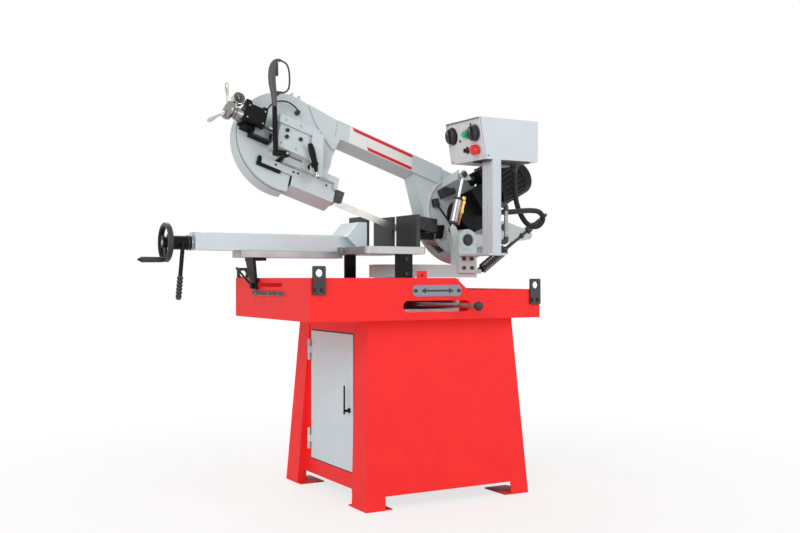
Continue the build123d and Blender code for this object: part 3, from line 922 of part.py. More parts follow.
with BuildPart(MOTOR) as motor:
    with Locations((0, 0, MOTOR_START)):
        Cylinder(MOTOR_R, MOTOR_END - MOTOR_START, align=UP)
    fillet(motor.edges().filter_by(GeomType.CIRCLE).sort_by(Axis(MOTOR.origin, MOTOR.z_dir))[-1], 12)
    with Locations((0, 0, MOTOR_FAN)):
        with PolarLocations(MOTOR_R, 22):
            Box(12, 5, MOTOR_FAN - MOTOR_START - 24, align=(Align.CENTER, Align.CENTER, Align.MAX),
                mode=Mode.SUBTRACT)
        Cylinder(MOTOR_R, 3, mode=Mode.SUBTRACT)
        Cylinder(MOTOR_R - 3, 4)
keep(motor, "motor")

# Blade tension: block with the idler axle, slideways, bracket, screw handle and gauge
with BuildPart(BOW) as tension_block:
    span((BLOCK_LEFT, BLOCK_RIGHT), (TENSION_V - BLOCK_HALF, TENSION_V + BLOCK_HALF),
         (PLATE_FRONT + SLIDE_GAP, BLOCK_FRONT))
    with Locations((IDLER_X, WHEEL_R, -WHEEL_WIDTH / 2 - 2)):
        Cylinder(AXLE_R, WHEEL_WIDTH / 2 + 2 + PLATE_FRONT + SLIDE_GAP, align=UP)
keep(tension_block, "tension_block")

SLIDE_LEFT, SLIDE_RIGHT = BLOCK_LEFT - TENSION_TRAVEL, BLOCK_RIGHT + 6
BAR_TOP, BAR_LOW = GUIDE_BAR_HIGH + SLIDE_GAP, GUIDE_BAR_LOW - SLIDE_GAP
with BuildPart(BOW) as slideways:
    for side in (-1, 1):
        edge = TENSION_V + side * (BLOCK_HALF + SLIDE_GAP)
        span((SLIDE_LEFT, SLIDE_RIGHT), sorted((edge, edge + side * SLIDEWAY)),
             (PLATE_FRONT, BLOCK_FRONT + SLIDE_GAP))
        span((SLIDE_LEFT, SLIDE_RIGHT), sorted((edge - side * SLIDEWAY_LIP, edge + side * SLIDEWAY)),
             (BLOCK_FRONT + SLIDE_GAP, BLOCK_FRONT + SLIDE_GAP + SLIDEWAY_LIP))
    span((GUIDE_SLIDE_LEFT, GUIDE_SLIDE_RIGHT), (BAR_TOP, BAR_TOP + GUIDE_CAP),
         (PLATE_FRONT, GUIDE_BAR_FRONT + SLIDE_GAP))
    span((GUIDE_SLIDE_LEFT, GUIDE_SLIDE_RIGHT), (BAR_LOW, BAR_TOP),
         (PLATE_FRONT, GUIDE_BAR_BACK - SLIDE_GAP))
    span((GUIDE_SLIDE_LEFT, GUIDE_SLIDE_RIGHT), (BAR_LOW, BAR_TOP + GUIDE_CAP),
         (GUIDE_BAR_FRONT + SLIDE_GAP, GUIDE_BAR_FRONT + SLIDE_GAP + GUIDE_CAP))
keep(slideways, "slideways")

with BuildPart(BOW) as tension_bracket:
    span((BRACKET_LEFT, BRACKET_RIGHT), (BRACKET_LOW_V, BRACKET_HIGH_V), (PLATE_FRONT, BRACKET_FRONT))
    span((IDLER_X - LIMIT_FAR, IDLER_X - LIMIT_NEAR), (LIMIT_LOW, LIMIT_HIGH), (PLATE_FRONT, LIMIT_FRONT))
    rod((BRACKET_LEFT, TENSION_V, TENSION_W), (BRACKET_RIGHT, TENSION_V, TENSION_W),
        TENSION_SCREW_R + RUN_FIT,
        Mode.SUBTRACT)
keep(tension_bracket, "tension_bracket")

with BuildPart(BOW) as tension_handle:
    rod((TENSION_HUB_X, TENSION_V, TENSION_W), (SLIDE_LEFT - SLIDE_GAP, TENSION_V, TENSION_W),
        TENSION_SCREW_R)
    rod((TENSION_HUB_X, TENSION_V, TENSION_W), (BRACKET_LEFT - SLIDE_GAP, TENSION_V, TENSION_W),
        0.7 * TENSION_HUB_R)
    rod((TENSION_HUB_X - 17, TENSION_V, TENSION_W), (TENSION_HUB_X + 15, TENSION_V, TENSION_W),
        TENSION_HUB_R)
    for turn in (75, 195, 315):
        reach = Vector(-ARM_LEAN, ARM_REACH * sin(radians(turn)), ARM_REACH * cos(radians(turn)))
        hub = Vector(TENSION_HUB_X, TENSION_V, TENSION_W)
        rod(hub, hub + reach, 5)
        rod(hub + reach * 0.6, hub + reach, 9)
keep(tension_handle, "tension_handle")

GAUGE_X = BRACKET_LEFT - GAUGE_R - 4
with BuildPart(BOW) as tension_gauge:
    rod((GAUGE_X, GAUGE_V, TENSION_W - GAUGE_THICK / 2), (GAUGE_X, GAUGE_V, TENSION_W + GAUGE_THICK / 2),
        GAUGE_R)
    rod((GAUGE_X, GAUGE_V, TENSION_W), (BRACKET_LEFT, GAUGE_V, TENSION_W), 6)
keep(tension_gauge, "tension_gauge")

# Sliding guide arm with its clamp, guard and guide block, and the fixed guide
END_LEFT = GUIDE_BAR_RIGHT - GUIDE_END
with BuildPart(BOW) as guide_arm:
    span((GUIDE_BAR_LEFT, GUIDE_BAR_RIGHT), (GUIDE_BAR_LOW, GUIDE_BAR_HIGH),
         (GUIDE_BAR_BACK, GUIDE_BAR_FRONT))
    span((END_LEFT, GUIDE_BAR_RIGHT), (GUIDE_END_LOW, GUIDE_BAR_HIGH), (GUIDE_END_BACK, GUIDE_BAR_FRONT))
keep(guide_arm, "guide_arm")


def blade_slot(left, right):
    """Slot for the upright blade, open at the bottom."""
    middle_y, middle_z = BLADE_LOW * sin(lean), BLADE_LOW * cos(lean)
    half = BLADE_THICK / 2 + BLADE_GAP
    span((left, right), (middle_y - half, middle_y + half),
         (-BLADE_WIDTH, middle_z + BLADE_WIDTH / 2 + BLADE_GAP),
         Mode.SUBTRACT)


GUIDE_RIGHT = GUIDE_BAR_RIGHT + GUIDE_LENGTH
with BuildPart(BLADE) as guide_block:
    span((GUIDE_BAR_RIGHT, GUIDE_RIGHT), (-GUIDE_HALF, GUIDE_HALF), (GUIDE_LOW, GUIDE_HIGH))
    blade_slot(GUIDE_BAR_RIGHT, GUIDE_RIGHT)
keep(guide_block, "guide_block")

CHANNEL_FRONT = GUIDE_BAR_FRONT + SLIDE_GAP + GUIDE_CAP
with BuildPart(BOW) as guide_clamp:
    rod((CLAMP_PIN_X, CLAMP_PIN_V, CHANNEL_FRONT + SLIDE_GAP), (CLAMP_PIN_X, CLAMP_PIN_V, CLAMP_W),
        1.6 * CLAMP_ROD_R)
    rod((CLAMP_PIN_X - CLAMP_TOP_BACK, CLAMP_TOP_V, CLAMP_W),
        (CLAMP_PIN_X + CLAMP_FOOT, CLAMP_FOOT_V, CLAMP_W), CLAMP_ROD_R)
keep(guide_clamp, "guide_clamp")

GUARD = Plane(origin=BOW.from_local_coords((GUARD_LEFT, 0, 0)), x_dir=BOW.y_dir, z_dir=BOW.x_dir)
with BuildPart(BOW) as blade_guard:
    with BuildSketch(GUARD) as profile:
        Polygon((GUARD_HIGH, GUARD_FRONT), (GUARD_LOW_FRONT, GUARD_FRONT), (GUARD_LOW_BACK, GUARD_BACK),
                (GUARD_HIGH, GUARD_BACK), (GUARD_HIGH, GUARD_BACK + GUARD_SKIN),
                (GUARD_LOW_BACK + GUARD_SKIN, GUARD_BACK + GUARD_SKIN),
                (GUARD_LOW_FRONT + GUARD_SKIN, GUARD_FRONT - GUARD_SKIN),
                (GUARD_HIGH, GUARD_FRONT - GUARD_SKIN), align=None)
    extrude(profile.sketch, amount=GUARD_LENGTH)
    span((END_LEFT - GUARD_TAB, END_LEFT), (GUARD_LOW_FRONT + GUARD_SKIN, GUIDE_BAR_LOW),
         (GUARD_FRONT - GUARD_SKIN, GUARD_FRONT))
keep(blade_guard, "blade_guard")


def fixed_lug_outline():
    """Plate that bolts the fixed guide to the front of the drive housing."""
    left, right = FIXED_GUIDE_LEFT + FIXED_LUG_INSET, NECK_EDGE + FIXED_LUG_REACH
    Polygon((left, FIXED_LUG_LOW), (right, FIXED_LUG_LOW), (right, FIXED_LUG_HIGH),
            (left, FIXED_LUG_HIGH - FIXED_LUG_LOW),
            align=None)


with BuildPart(BLADE) as fixed_guide:
    span((FIXED_GUIDE_LEFT, FIXED_GUIDE_RIGHT), (-FIXED_GUIDE_HALF, FIXED_GUIDE_HALF),
         (GUIDE_LOW, FIXED_GUIDE_HIGH))
    blade_slot(FIXED_GUIDE_LEFT, FIXED_GUIDE_RIGHT)
    bow_plate(fixed_lug_outline, PLATE_FRONT, PLATE_FRONT + FIXED_LUG_THICK)
keep(fixed_guide, "fixed_guide")

# Handle with its loop and trigger
handle_turn = radians(HANDLE_TURN)
HANDLE = Plane(origin=BOW.from_local_coords((IDLER_X - HANDLE_BACK, HANDLE_V, HANDLE_W)),
               x_dir=BOW.x_dir * cos(handle_turn) + BOW.y_dir * sin(handle_turn), z_dir=BOW.z_dir)
LOOP_MIDDLE = ((LOOP_LEFT + LOOP_RIGHT) / 2, (LOOP_LOW + LOOP_HIGH) / 2)
GAP_LEFT, GAP_RIGHT = GRIP_EDGE, LOOP_RIGHT - LOOP_WALL
GAP_LOW, GAP_HIGH = LOOP_LOW + LOOP_WALL, LOOP_HIGH - 1.4 * LOOP_WALL
TRIGGER_LEFT = GRIP_EDGE - TRIGGER_DEPTH / 3
TRIGGER_PIN_X, TRIGGER_PIN_Y = TRIGGER_LEFT + TRIGGER_PIN_INSET, TRIGGER_HIGH - TRIGGER_PIN_INSET
with BuildPart(HANDLE) as pistol_handle:
    with BuildSketch(HANDLE.offset(-HANDLE_THICK / 2)) as profile:
        with Locations(LOOP_MIDDLE):
            RectangleRounded(LOOP_RIGHT - LOOP_LEFT, LOOP_HIGH - LOOP_LOW, LOOP_ROUND)
        with Locations(((GAP_LEFT + GAP_RIGHT) / 2, (GAP_LOW + GAP_HIGH) / 2)):
            RectangleRounded(GAP_RIGHT - GAP_LEFT, GAP_HIGH - GAP_LOW, (GAP_RIGHT - GAP_LEFT) / 2.2,
                             mode=Mode.SUBTRACT)
    extrude(profile.sketch, amount=HANDLE_THICK)
    span((GRIP_EDGE - TRIGGER_ROOM, GRIP_EDGE + TRIGGER_ROOM), (TRIGGER_LOW - 6, TRIGGER_HIGH + 6),
         (-TRIGGER_THICK / 2 - SLIDE_GAP, TRIGGER_THICK / 2 + SLIDE_GAP), Mode.SUBTRACT)
    rod((TRIGGER_PIN_X, TRIGGER_PIN_Y, -HANDLE_THICK / 3), (TRIGGER_PIN_X, TRIGGER_PIN_Y, HANDLE_THICK / 3),
        TRIGGER_PIN_R)
    rod((0, 0, 0), (0, HANDLE_ROD, 0), HANDLE_ROD_R)
    span((-HANDLE_ROD_R, HANDLE_FOOT + HANDLE_ROD_R), (-1.5 * HANDLE_ROD_R, HANDLE_FOOT_R),
         (-HANDLE_ROD_R, HANDLE_ROD_R))
    rod((HANDLE_FOOT, -3, 0), (HANDLE_FOOT, -3, PLATE_FRONT - HANDLE_W), HANDLE_FOOT_R)
keep(pistol_handle, "pistol_handle")

with BuildPart(HANDLE) as trigger:
    span((TRIGGER_LEFT, TRIGGER_LEFT + TRIGGER_DEPTH), (TRIGGER_LOW, TRIGGER_HIGH),
         (-TRIGGER_THICK / 2, TRIGGER_THICK / 2))
    rod((TRIGGER_PIN_X, TRIGGER_PIN_Y, -TRIGGER_THICK), (TRIGGER_PIN_X, TRIGGER_PIN_Y, TRIGGER_THICK),
        TRIGGER_PIN_R + RUN_FIT, Mode.SUBTRACT)
keep(trigger, "trigger")

# Down-feed cylinder with its rod and valve knob
feed_axis = Vector(FEED_HIGH_X - FEED_LOW_X, 0, FEED_HIGH_Z - FEED_LOW_Z)
feed_way = feed_axis.normalized()
FEED = Plane(origin=(FEED_LOW_X, FEED_Y, FEED_LOW_Z), x_dir=(feed_way.Z, 0, -feed_way.X), z_dir=feed_way)


def feed_eye(z, outer, hole, neck):
    """Eye across the cylinder's axis at height z, with a neck to the rest of the piece."""
    rod((0, 0, min(z, neck)), (0, 0, max(z, neck)), FEED_ROD_R)
    rod((0, -FEED_EYE_HALF, z), (0, FEED_EYE_HALF, z), outer)
    rod((0, -FEED_EYE_HALF, z), (0, FEED_EYE_HALF, z), hole, Mode.SUBTRACT)


VALVE_END = VALVE_START + VALVE_LENGTH
with BuildPart(FEED) as feed_cylinder:
    feed_eye(0, FEED_LOW_EYE_R, FEED_PIN_R + RUN_FIT, CYLINDER_START)
    rod((0, 0, CYLINDER_START), (0, 0, CYLINDER_END), CYLINDER_R)
    rod((0, 0, CYLINDER_START + CYLINDER_R / 2), (0, 0, CYLINDER_END), FEED_ROD_R + RUN_FIT, Mode.SUBTRACT)
    rod((VALVE_OFFSET, 0, VALVE_START), (VALVE_OFFSET, 0, VALVE_END), VALVE_R)
    span((CYLINDER_R - 2, VALVE_OFFSET), (-VALVE_STEM_R, VALVE_STEM_R),
         (VALVE_START + VALVE_R, VALVE_START + 3 * VALVE_R))
    rod((VALVE_OFFSET, 0, VALVE_END - VALVE_STEM), (VALVE_OFFSET, 0, VALVE_END), VALVE_STEM_R + RUN_FIT,
        Mode.SUBTRACT)
keep(feed_cylinder, "feed_cylinder")

with BuildPart(FEED) as feed_rod:
    feed_eye(feed_axis.length, FEED_EYE_R, FEED_EYE_HOLE_R, FEED_ROD_START)
keep(feed_rod, "feed_rod")

with BuildPart(FEED) as feed_valve:
    rod((VALVE_OFFSET, 0, VALVE_END - VALVE_STEM), (VALVE_OFFSET, 0, VALVE_END + VALVE_KNOB), VALVE_STEM_R)
    rod((VALVE_OFFSET, 0, VALVE_END + SLIDE_GAP), (VALVE_OFFSET, 0, VALVE_END + VALVE_KNOB), VALVE_KNOB_R)
keep(feed_valve, "feed_valve")

os.makedirs("parts", exist_ok=True)
for node in nodes:
    export_step(node, f"parts/{node.label}.step")
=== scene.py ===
"""Looks of the metal cutting band saw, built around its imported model, in metres."""
import json
import math

import bmesh
import bpy
from mathutils import Matrix, Vector


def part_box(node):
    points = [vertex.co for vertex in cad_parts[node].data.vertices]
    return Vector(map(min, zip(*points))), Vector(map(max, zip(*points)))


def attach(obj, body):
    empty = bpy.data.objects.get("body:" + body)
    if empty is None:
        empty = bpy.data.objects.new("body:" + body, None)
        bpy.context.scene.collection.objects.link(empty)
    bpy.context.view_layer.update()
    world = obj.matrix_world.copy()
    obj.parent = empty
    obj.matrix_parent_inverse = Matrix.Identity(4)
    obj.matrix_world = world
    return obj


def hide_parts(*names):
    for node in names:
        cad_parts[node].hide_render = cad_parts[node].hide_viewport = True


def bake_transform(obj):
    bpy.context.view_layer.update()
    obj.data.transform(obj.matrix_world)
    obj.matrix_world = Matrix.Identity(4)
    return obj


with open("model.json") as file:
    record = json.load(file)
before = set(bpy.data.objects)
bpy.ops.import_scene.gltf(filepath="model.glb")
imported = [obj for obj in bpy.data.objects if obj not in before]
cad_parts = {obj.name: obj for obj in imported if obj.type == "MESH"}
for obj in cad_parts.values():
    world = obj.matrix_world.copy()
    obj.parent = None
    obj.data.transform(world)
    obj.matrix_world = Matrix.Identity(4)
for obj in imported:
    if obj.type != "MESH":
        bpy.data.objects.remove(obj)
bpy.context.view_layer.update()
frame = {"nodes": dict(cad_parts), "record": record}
nodes = frame["nodes"]
body_of_node = {n: b for b, ns in frame["record"]["behaviour"]["bodies"].items() for n in ns}
scene = bpy.context.scene
scene.view_settings.view_transform = "Standard"
MM = 0.001
LEFTWARD, FRONTWARD = Vector((-1, 0, 0)), Vector((0, -1, 0))


# Points in metres, given in millimetres
def spot(x, y, z):
    """Point in the row frame."""
    return Vector((x, y, z)) * MM


# Bow axes: along the blade, up the bow, and out of it towards the operator
RAISE, LEAN = math.radians(18.5), math.radians(15)
ALONG = Vector((math.cos(RAISE), 0, -math.sin(RAISE)))
ABOVE = Vector((math.sin(RAISE), 0, math.cos(RAISE)))
OUTWARD = ABOVE * math.sin(LEAN) + FRONTWARD * math.cos(LEAN)
UPWARD = OUTWARD.cross(ALONG)
PIVOT_X, PIVOT_Z, BOW_Y, BLADE_DROP = 274, 1009, 75, 36
BOW_ORIGIN = Vector((PIVOT_X * MM, BOW_Y * MM, PIVOT_Z * MM)) - ABOVE * (BLADE_DROP * MM)
BOW = Matrix.Translation(BOW_ORIGIN) @ Matrix((ALONG, UPWARD, OUTWARD)).transposed().to_4x4()


def bow(x, v, w):
    """Point of the leaning bow: along it, up it and out of it."""
    return BOW_ORIGIN + (ALONG * x + UPWARD * v + OUTWARD * w) * MM


def blade(x, y, z):
    """Point in the blade's upright frame."""
    return BOW_ORIGIN + (ALONG * x - FRONTWARD * y + ABOVE * z) * MM


def arc(centre, radius, start, end, w, count=28):
    """Points on the bow along a circle, from one angle in degrees to another."""
    found = []
    for i in range(count):
        turn = math.radians(start + (end - start) * i / (count - 1))
        found.append(bow(centre[0] + radius * math.cos(turn), centre[1] + radius * math.sin(turn), w))
    return found


def turns(count):
    """Angles of equal steps round a circle."""
    return [2 * math.pi * i / count for i in range(count)]


def box_outline(x0, x1, y0, y1):
    """Corners of a rectangle."""
    return [(x0, y0), (x1, y0), (x1, y1), (x0, y1)]


# Placing matrices
def facing(origin, axis, side=(0, 0, 1)):
    """Matrix with z along an axis and x as near as can be to a side direction."""
    z = Vector(axis).normalized()
    x = Vector(side) - z * Vector(side).dot(z)
    if x.length < 1e-4:
        x = Vector((1, 0, 0)) - z * z.x
    x.normalize()
    y = z.cross(x)
    return Matrix.Translation(Vector(origin)) @ Matrix((x, y, z)).transposed().to_4x4()


def shifted(place, x, y, z):
    """Matrix moved along its own axes, in millimetres."""
    return place @ Matrix.Translation((x * MM, y * MM, z * MM))


def face(w):
    """Matrix on the front of the bow, at a distance out of it."""
    return shifted(BOW, 0, 0, w)


def front(y):
    """Matrix that faces the operator, x to the right and y up."""
    turned = Matrix(((1, 0, 0), (0, 0, 1), (0, -1, 0))).transposed().to_4x4()
    return Matrix.Translation((0, y * MM, 0)) @ turned


def left(x):
    """Matrix that faces left, x to the front and y up."""
    turned = Matrix(((0, -1, 0), (0, 0, 1), (-1, 0, 0))).transposed().to_4x4()
    return Matrix.Translation((x * MM, 0, 0)) @ turned


# Materials
BROAD_SCALE, BROAD_DETAIL = 7.0, 4.0
PATCH_SCALE, PATCH_DETAIL = 24.0, 3.0
GRAIN_DETAIL, GRAIN_DEPTH = 2.0, 0.0006
COAT_ROUGHNESS = 0.12


def material(name, colour, roughness=0.4, metallic=0.0, coat=0.0, gloss=0.5, vary=0.06, grain=220.0,
             bump=0.05, stretch=(1, 1, 1), spread=0.08):
    """Shader with uneven colour and roughness, and a fine bumped grain."""
    made = bpy.data.materials.new(name)
    made.use_nodes = True
    tree = made.node_tree
    shader = tree.nodes["Principled BSDF"]
    shader.inputs["Metallic"].default_value = metallic
    shader.inputs["Coat Weight"].default_value = coat
    shader.inputs["Coat Roughness"].default_value = COAT_ROUGHNESS
    shader.inputs["Specular IOR Level"].default_value = gloss
    coords = tree.nodes.new("ShaderNodeTexCoord")
    mapping = tree.nodes.new("ShaderNodeMapping")
    mapping.inputs["Scale"].default_value = stretch
    tree.links.new(coords.outputs["Object"], mapping.inputs["Vector"])

    def noise(scale, detail):
        found = tree.nodes.new("ShaderNodeTexNoise")
        found.inputs["Scale"].default_value = scale
        found.inputs["Detail"].default_value = detail
        tree.links.new(mapping.outputs["Vector"], found.inputs["Vector"])
        return found.outputs["Fac"]

    ramp = tree.nodes.new("ShaderNodeValToRGB")
    ramp.color_ramp.elements[0].position = 0.3
    ramp.color_ramp.elements[1].position = 0.7
    ramp.color_ramp.elements[0].color = [c * (1 - vary) for c in colour] + [1]
    ramp.color_ramp.elements[1].color = [min(1, c * (1 + vary)) for c in colour] + [1]
    tree.links.new(noise(BROAD_SCALE, BROAD_DETAIL), ramp.inputs["Fac"])
    tree.links.new(ramp.outputs["Color"], shader.inputs["Base Color"])
    rough = tree.nodes.new("ShaderNodeMapRange")
    rough.inputs["To Min"].default_value = max(0.02, roughness - spread)
    rough.inputs["To Max"].default_value = min(1, roughness + spread)
    tree.links.new(noise(PATCH_SCALE, PATCH_DETAIL), rough.inputs["Value"])
    tree.links.new(rough.outputs["Result"], shader.inputs["Roughness"])
    if bump:
        relief = tree.nodes.new("ShaderNodeBump")
        relief.inputs["Strength"].default_value = bump
        relief.inputs["Distance"].default_value = GRAIN_DEPTH
        tree.links.new(noise(grain, GRAIN_DETAIL), relief.inputs["Height"])
        tree.links.new(relief.outputs["Normal"], shader.inputs["Normal"])
    return made


# Paints
RED = material("red_powder_coat", (0.95, 0.028, 0.028), 0.5, gloss=0.16, vary=0.03, grain=520,
               bump=0.06)
GREY = material("grey_paint", (0.57, 0.635, 0.645), 0.4, gloss=0.35, vary=0.03, grain=420)
COOL_GREY = material("cool_grey_paint", (0.62, 0.735, 0.765), 0.4, gloss=0.35, vary=0.03,
                     grain=420)
BOX_GREY = material("box_paint", (0.62, 0.67, 0.72), 0.38, gloss=0.35, vary=0.02, grain=600,
                    bump=0.04)
PLATE_GREY = material("plate_enamel", (0.2, 0.23, 0.27), 0.36, coat=0.2, grain=300, bump=0.04)
BLACK = material("black_paint", (0.02, 0.02, 0.021), 0.42, vary=0.25, grain=380, bump=0.1)
DEEP_BLACK = material("deep_black_paint", (0.006, 0.006, 0.0065), 0.4, gloss=0.12, vary=0.3,
                      grain=380, bump=0.08)
CAST_BLACK = material("black_cast", (0.006, 0.006, 0.0065), 0.5, gloss=0.16, vary=0.3,
                      grain=160, bump=0.3)

# Metals
STEEL = material("machined_steel", (0.4, 0.4, 0.4), 0.34, metallic=1.0, vary=0.1, grain=160,
                 bump=0.08, stretch=(1, 1, 6))
GROUND = material("ground_iron", (0.36, 0.36, 0.355), 0.4, metallic=1.0, vary=0.14, grain=90,
                  bump=0.1, stretch=(1, 9, 1))
BLADE_STEEL = material("blade_steel", (0.42, 0.41, 0.39), 0.34, metallic=1.0, vary=0.12,
                       grain=120, bump=0.06)
CHROME = material("chrome", (0.56, 0.555, 0.54), 0.16, metallic=1.0, vary=0.2, grain=40, bump=0.03,
                  spread=0.06)
# Darker copy of the chrome, for the tension hub: painted reflection, standing for the dark surroundings that
# the hub mirrors.
HUB_CHROME = material("hub_chrome", (0.27, 0.268, 0.26), 0.14, metallic=1.0, vary=0.25, grain=40,
                      bump=0.03, spread=0.06)
BRASS = material("brass", (0.62, 0.36, 0.1), 0.3, metallic=1.0, vary=0.16, grain=200)
COPPER = material("copper", (0.55, 0.2, 0.09), 0.34, metallic=1.0, vary=0.2, grain=200)
JAW = material("blackened_steel", (0.03, 0.03, 0.031), 0.42, metallic=0.5, vary=0.25, grain=120,
               bump=0.15)
SPRING = material("spring_wire", (0.016, 0.013, 0.012), 0.18, coat=0.6, vary=0.2, grain=300,
                  bump=0.03)

# Plastics, rubber, films and glass
PLASTIC = material("black_plastic", (0.024, 0.024, 0.025), 0.45, vary=0.2, grain=700,
                   bump=0.08)
GRIP = material("grey_grip", (0.07, 0.07, 0.073), 0.5, vary=0.12, grain=900, bump=0.15)
BROWN = material("brown_grip", (0.3, 0.13, 0.1), 0.36, coat=0.3, vary=0.3, grain=60,
                 bump=0.2, stretch=(1, 1, 5))
RUBBER = material("black_rubber", (0.014, 0.014, 0.015), 0.5, gloss=0.25, vary=0.2, grain=500,
                  bump=0.1)
GREEN = material("green_plastic", (0.0, 0.52, 0.18), 0.3, coat=0.3, grain=300, bump=0.03)
STOP_RED = material("red_plastic", (0.78, 0.022, 0.016), 0.3, coat=0.3, grain=300, bump=0.03)
PANEL_WHITE = material("panel_film", (0.75, 0.775, 0.785), 0.42, gloss=0.3, vary=0.03, grain=300,
                       bump=0.02)
WHITE = material("white_film", (0.8, 0.8, 0.8), 0.4, gloss=0.3, vary=0.03, grain=300, bump=0.02)
STRIPE = material("red_film", (0.7, 0.012, 0.02), 0.35, gloss=0.3, vary=0.05, grain=300,
                  bump=0.02)
CLEAR = material("smoked_window", (0.22, 0.27, 0.31), 0.12, coat=0.5, vary=0.25, grain=60,
                 bump=0.04)
GLASS = material("dark_glass", (0.01, 0.01, 0.011), 0.06, coat=0.6, vary=0.2, bump=0.0)


# Building helpers
BEVEL_ANGLE, FLAT_ANGLE, LIMB_SIDES = math.radians(35), math.radians(0.3), 20


def add_piece(name, mesh, skin, body, smooth=40.0):
    """Link a mesh as a piece that rides a body, smooth up to an angle."""
    piece = bpy.data.objects.new(name, mesh)
    scene.collection.objects.link(piece)
    mesh.materials.clear()
    mesh.materials.append(skin)
    mesh.polygons.foreach_set("use_smooth", [True] * len(mesh.polygons))
    mesh.set_sharp_from_angle(angle=math.radians(smooth))
    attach(piece, body)
    return piece


def soften(piece, width, segments=2):
    """Round the sharp edges of a piece."""
    bevel = piece.modifiers.new("edges", "BEVEL")
    bevel.width = width
    bevel.segments = segments
    bevel.limit_method = "ANGLE"
    bevel.angle_limit = BEVEL_ANGLE
    bevel.harden_normals = True


def dress(node, skin, width):
    """Rounded copy of a CAD node, standing for it."""
    mesh = nodes[node].data.copy()
    tidy = bmesh.new()
    tidy.from_mesh(mesh)
    bmesh.ops.remove_doubles(tidy, verts=tidy.verts, dist=1e-5)
    bmesh.ops.dissolve_limit(tidy, angle_limit=FLAT_ANGLE, verts=tidy.verts, edges=tidy.edges)
    tidy.to_mesh(mesh)
    tidy.free()
    if "custom_normal" in mesh.attributes:
        mesh.attributes.remove(mesh.attributes["custom_normal"])
    piece = add_piece(node + "_dressed", mesh, skin, body_of_node[node])
    soften(piece, width)
    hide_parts(node)


def paint(node, skin):
    """Give a CAD node that keeps its shape a material."""
    mesh = nodes[node].data
    mesh.materials.clear()
    mesh.materials.append(skin)


def join_rings(made, rings):
    """Walls between rings of points, and a face over each end."""
    count = len(rings[0])
    made.faces.new(list(reversed(rings[0])))
    made.faces.new(rings[-1])
    for low, high in zip(rings, rings[1:]):
        for i in range(count):
            j = (i + 1) % count
            made.faces.new((low[i], low[j], high[j], high[i]))


def mesh_of(made, name, place=None):
    """Mesh of what was made, moved to its place."""
    bmesh.ops.recalc_face_normals(made, faces=made.faces)
    mesh = bpy.data.meshes.new(name)
    made.to_mesh(mesh)
    made.free()
    if place is not None:
        mesh.transform(place)
    return mesh


def prism(name, outline, depth, place, skin, body, edge=0.0, segments=2):
    """Extrude an outline in millimetres along z of a placing matrix."""
    made = bmesh.new()
    join_rings(made, [[made.verts.new((x * MM, y * MM, z * MM)) for x, y in outline] for z in (0, depth)])
    piece = add_piece(name, mesh_of(made, name, place), skin, body)
    if edge:
        soften(piece, edge * MM, segments)
    return piece


def lathe(name, profile, place, skin, body, steps=40, smooth=40.0):
    """Turn a profile of (radius, height) in millimetres about z of a placing matrix."""
    made = bmesh.new()
    rings = []
    for radius, height in profile:
        ring = []
        for turn in turns(steps) if radius else [0]:
            point = (radius * MM * math.cos(turn), radius * MM * math.sin(turn), height * MM)
            ring.append(made.verts.new(point))
        rings.append(ring)
    for low, high in zip(rings, rings[1:]):
        if len(low) == 1 and len(high) == 1:
            continue
        for i in range(steps):
            j = (i + 1) % steps
            if len(low) == 1:
                made.faces.new((low[0], high[j], high[i]))
            elif len(high) == 1:
                made.faces.new((low[i], low[j], high[0]))
            else:
                made.faces.new((low[i], low[j], high[j], high[i]))
    bmesh.ops.remove_doubles(made, verts=made.verts, dist=1e-6)
    return add_piece(name, mesh_of(made, name, place), skin, body, smooth)


def limb(name, spine, halves, normal, skin, body):
    """Oval bar along points in metres, with half widths in millimetres across and along a normal."""
    made = bmesh.new()
    rings = []
    for i, (point, (across, deep)) in enumerate(zip(spine, halves)):
        tangent = (spine[min(i + 1, len(spine) - 1)] - spine[max(i - 1, 0)]).normalized()
        side = normal.cross(tangent).normalized()
        depth = tangent.cross(side)
        ring = []
        for turn in turns(LIMB_SIDES):
            out = side * across * math.cos(turn) + depth * deep * math.sin(turn)
            ring.append(made.verts.new(point + out * MM))
        rings.append(ring)
    join_rings(made, rings)
    piece = add_piece(name, mesh_of(made, name), skin, body, 60)
    smoother = piece.modifiers.new("rounding", "SUBSURF")
    smoother.levels = 1
    smoother.render_levels = 1
    return piece


def knob(name, centre, axis, radius, neck, skin, body):
    """Ball on a short neck, the neck pointing back along the axis."""
    profile = [(0, -neck - radius), (0.45 * radius, -neck - radius)]
    for i in range(3, 18):
        turn = math.pi * i / 18
        profile.append((radius * math.sin(turn), -radius * math.cos(turn)))
    return lathe(name, profile + [(0, radius)], facing(centre, axis), skin, body, steps=28)


def tube(name, points, radius, skin, body):
    """Round bar along a smooth line near points in metres."""
    curve = bpy.data.curves.new(name, "CURVE")
    curve.dimensions = "3D"
    curve.bevel_depth = radius * MM
    curve.bevel_resolution = 4
    curve.use_fill_caps = True
    curve.resolution_u = 8
    line = curve.splines.new("NURBS")
    line.points.add(len(points) - 1)
    for control, point in zip(line.points, points):
        control.co = (*point, 1)
    line.order_u = 3
    line.use_endpoint_u = True
    curve.materials.append(skin)
    piece = bpy.data.objects.new(name, curve)
    scene.collection.objects.link(piece)
    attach(piece, body)
    return piece


def bolt(name, place, axis, radius, height, body, skin=BLACK):
    """Cap head screw with a socket, standing on a face."""
    inner = 0.5 * radius
    profile = [(0, 0), (radius, 0), (radius, 0.85 * height), (0.88 * radius, height), (inner, height),
               (inner, 0.5 * height), (0, 0.5 * height)]
    lathe(name, profile, facing(place, axis), skin, body, steps=18, smooth=30)


def bolts(name, places, axis, radius, height, body, skin=BLACK):
    """Numbered cap head screws of one size."""
    for i, place in enumerate(places):
        bolt(f"{name}_{i}", place, axis, radius, height, body, skin)


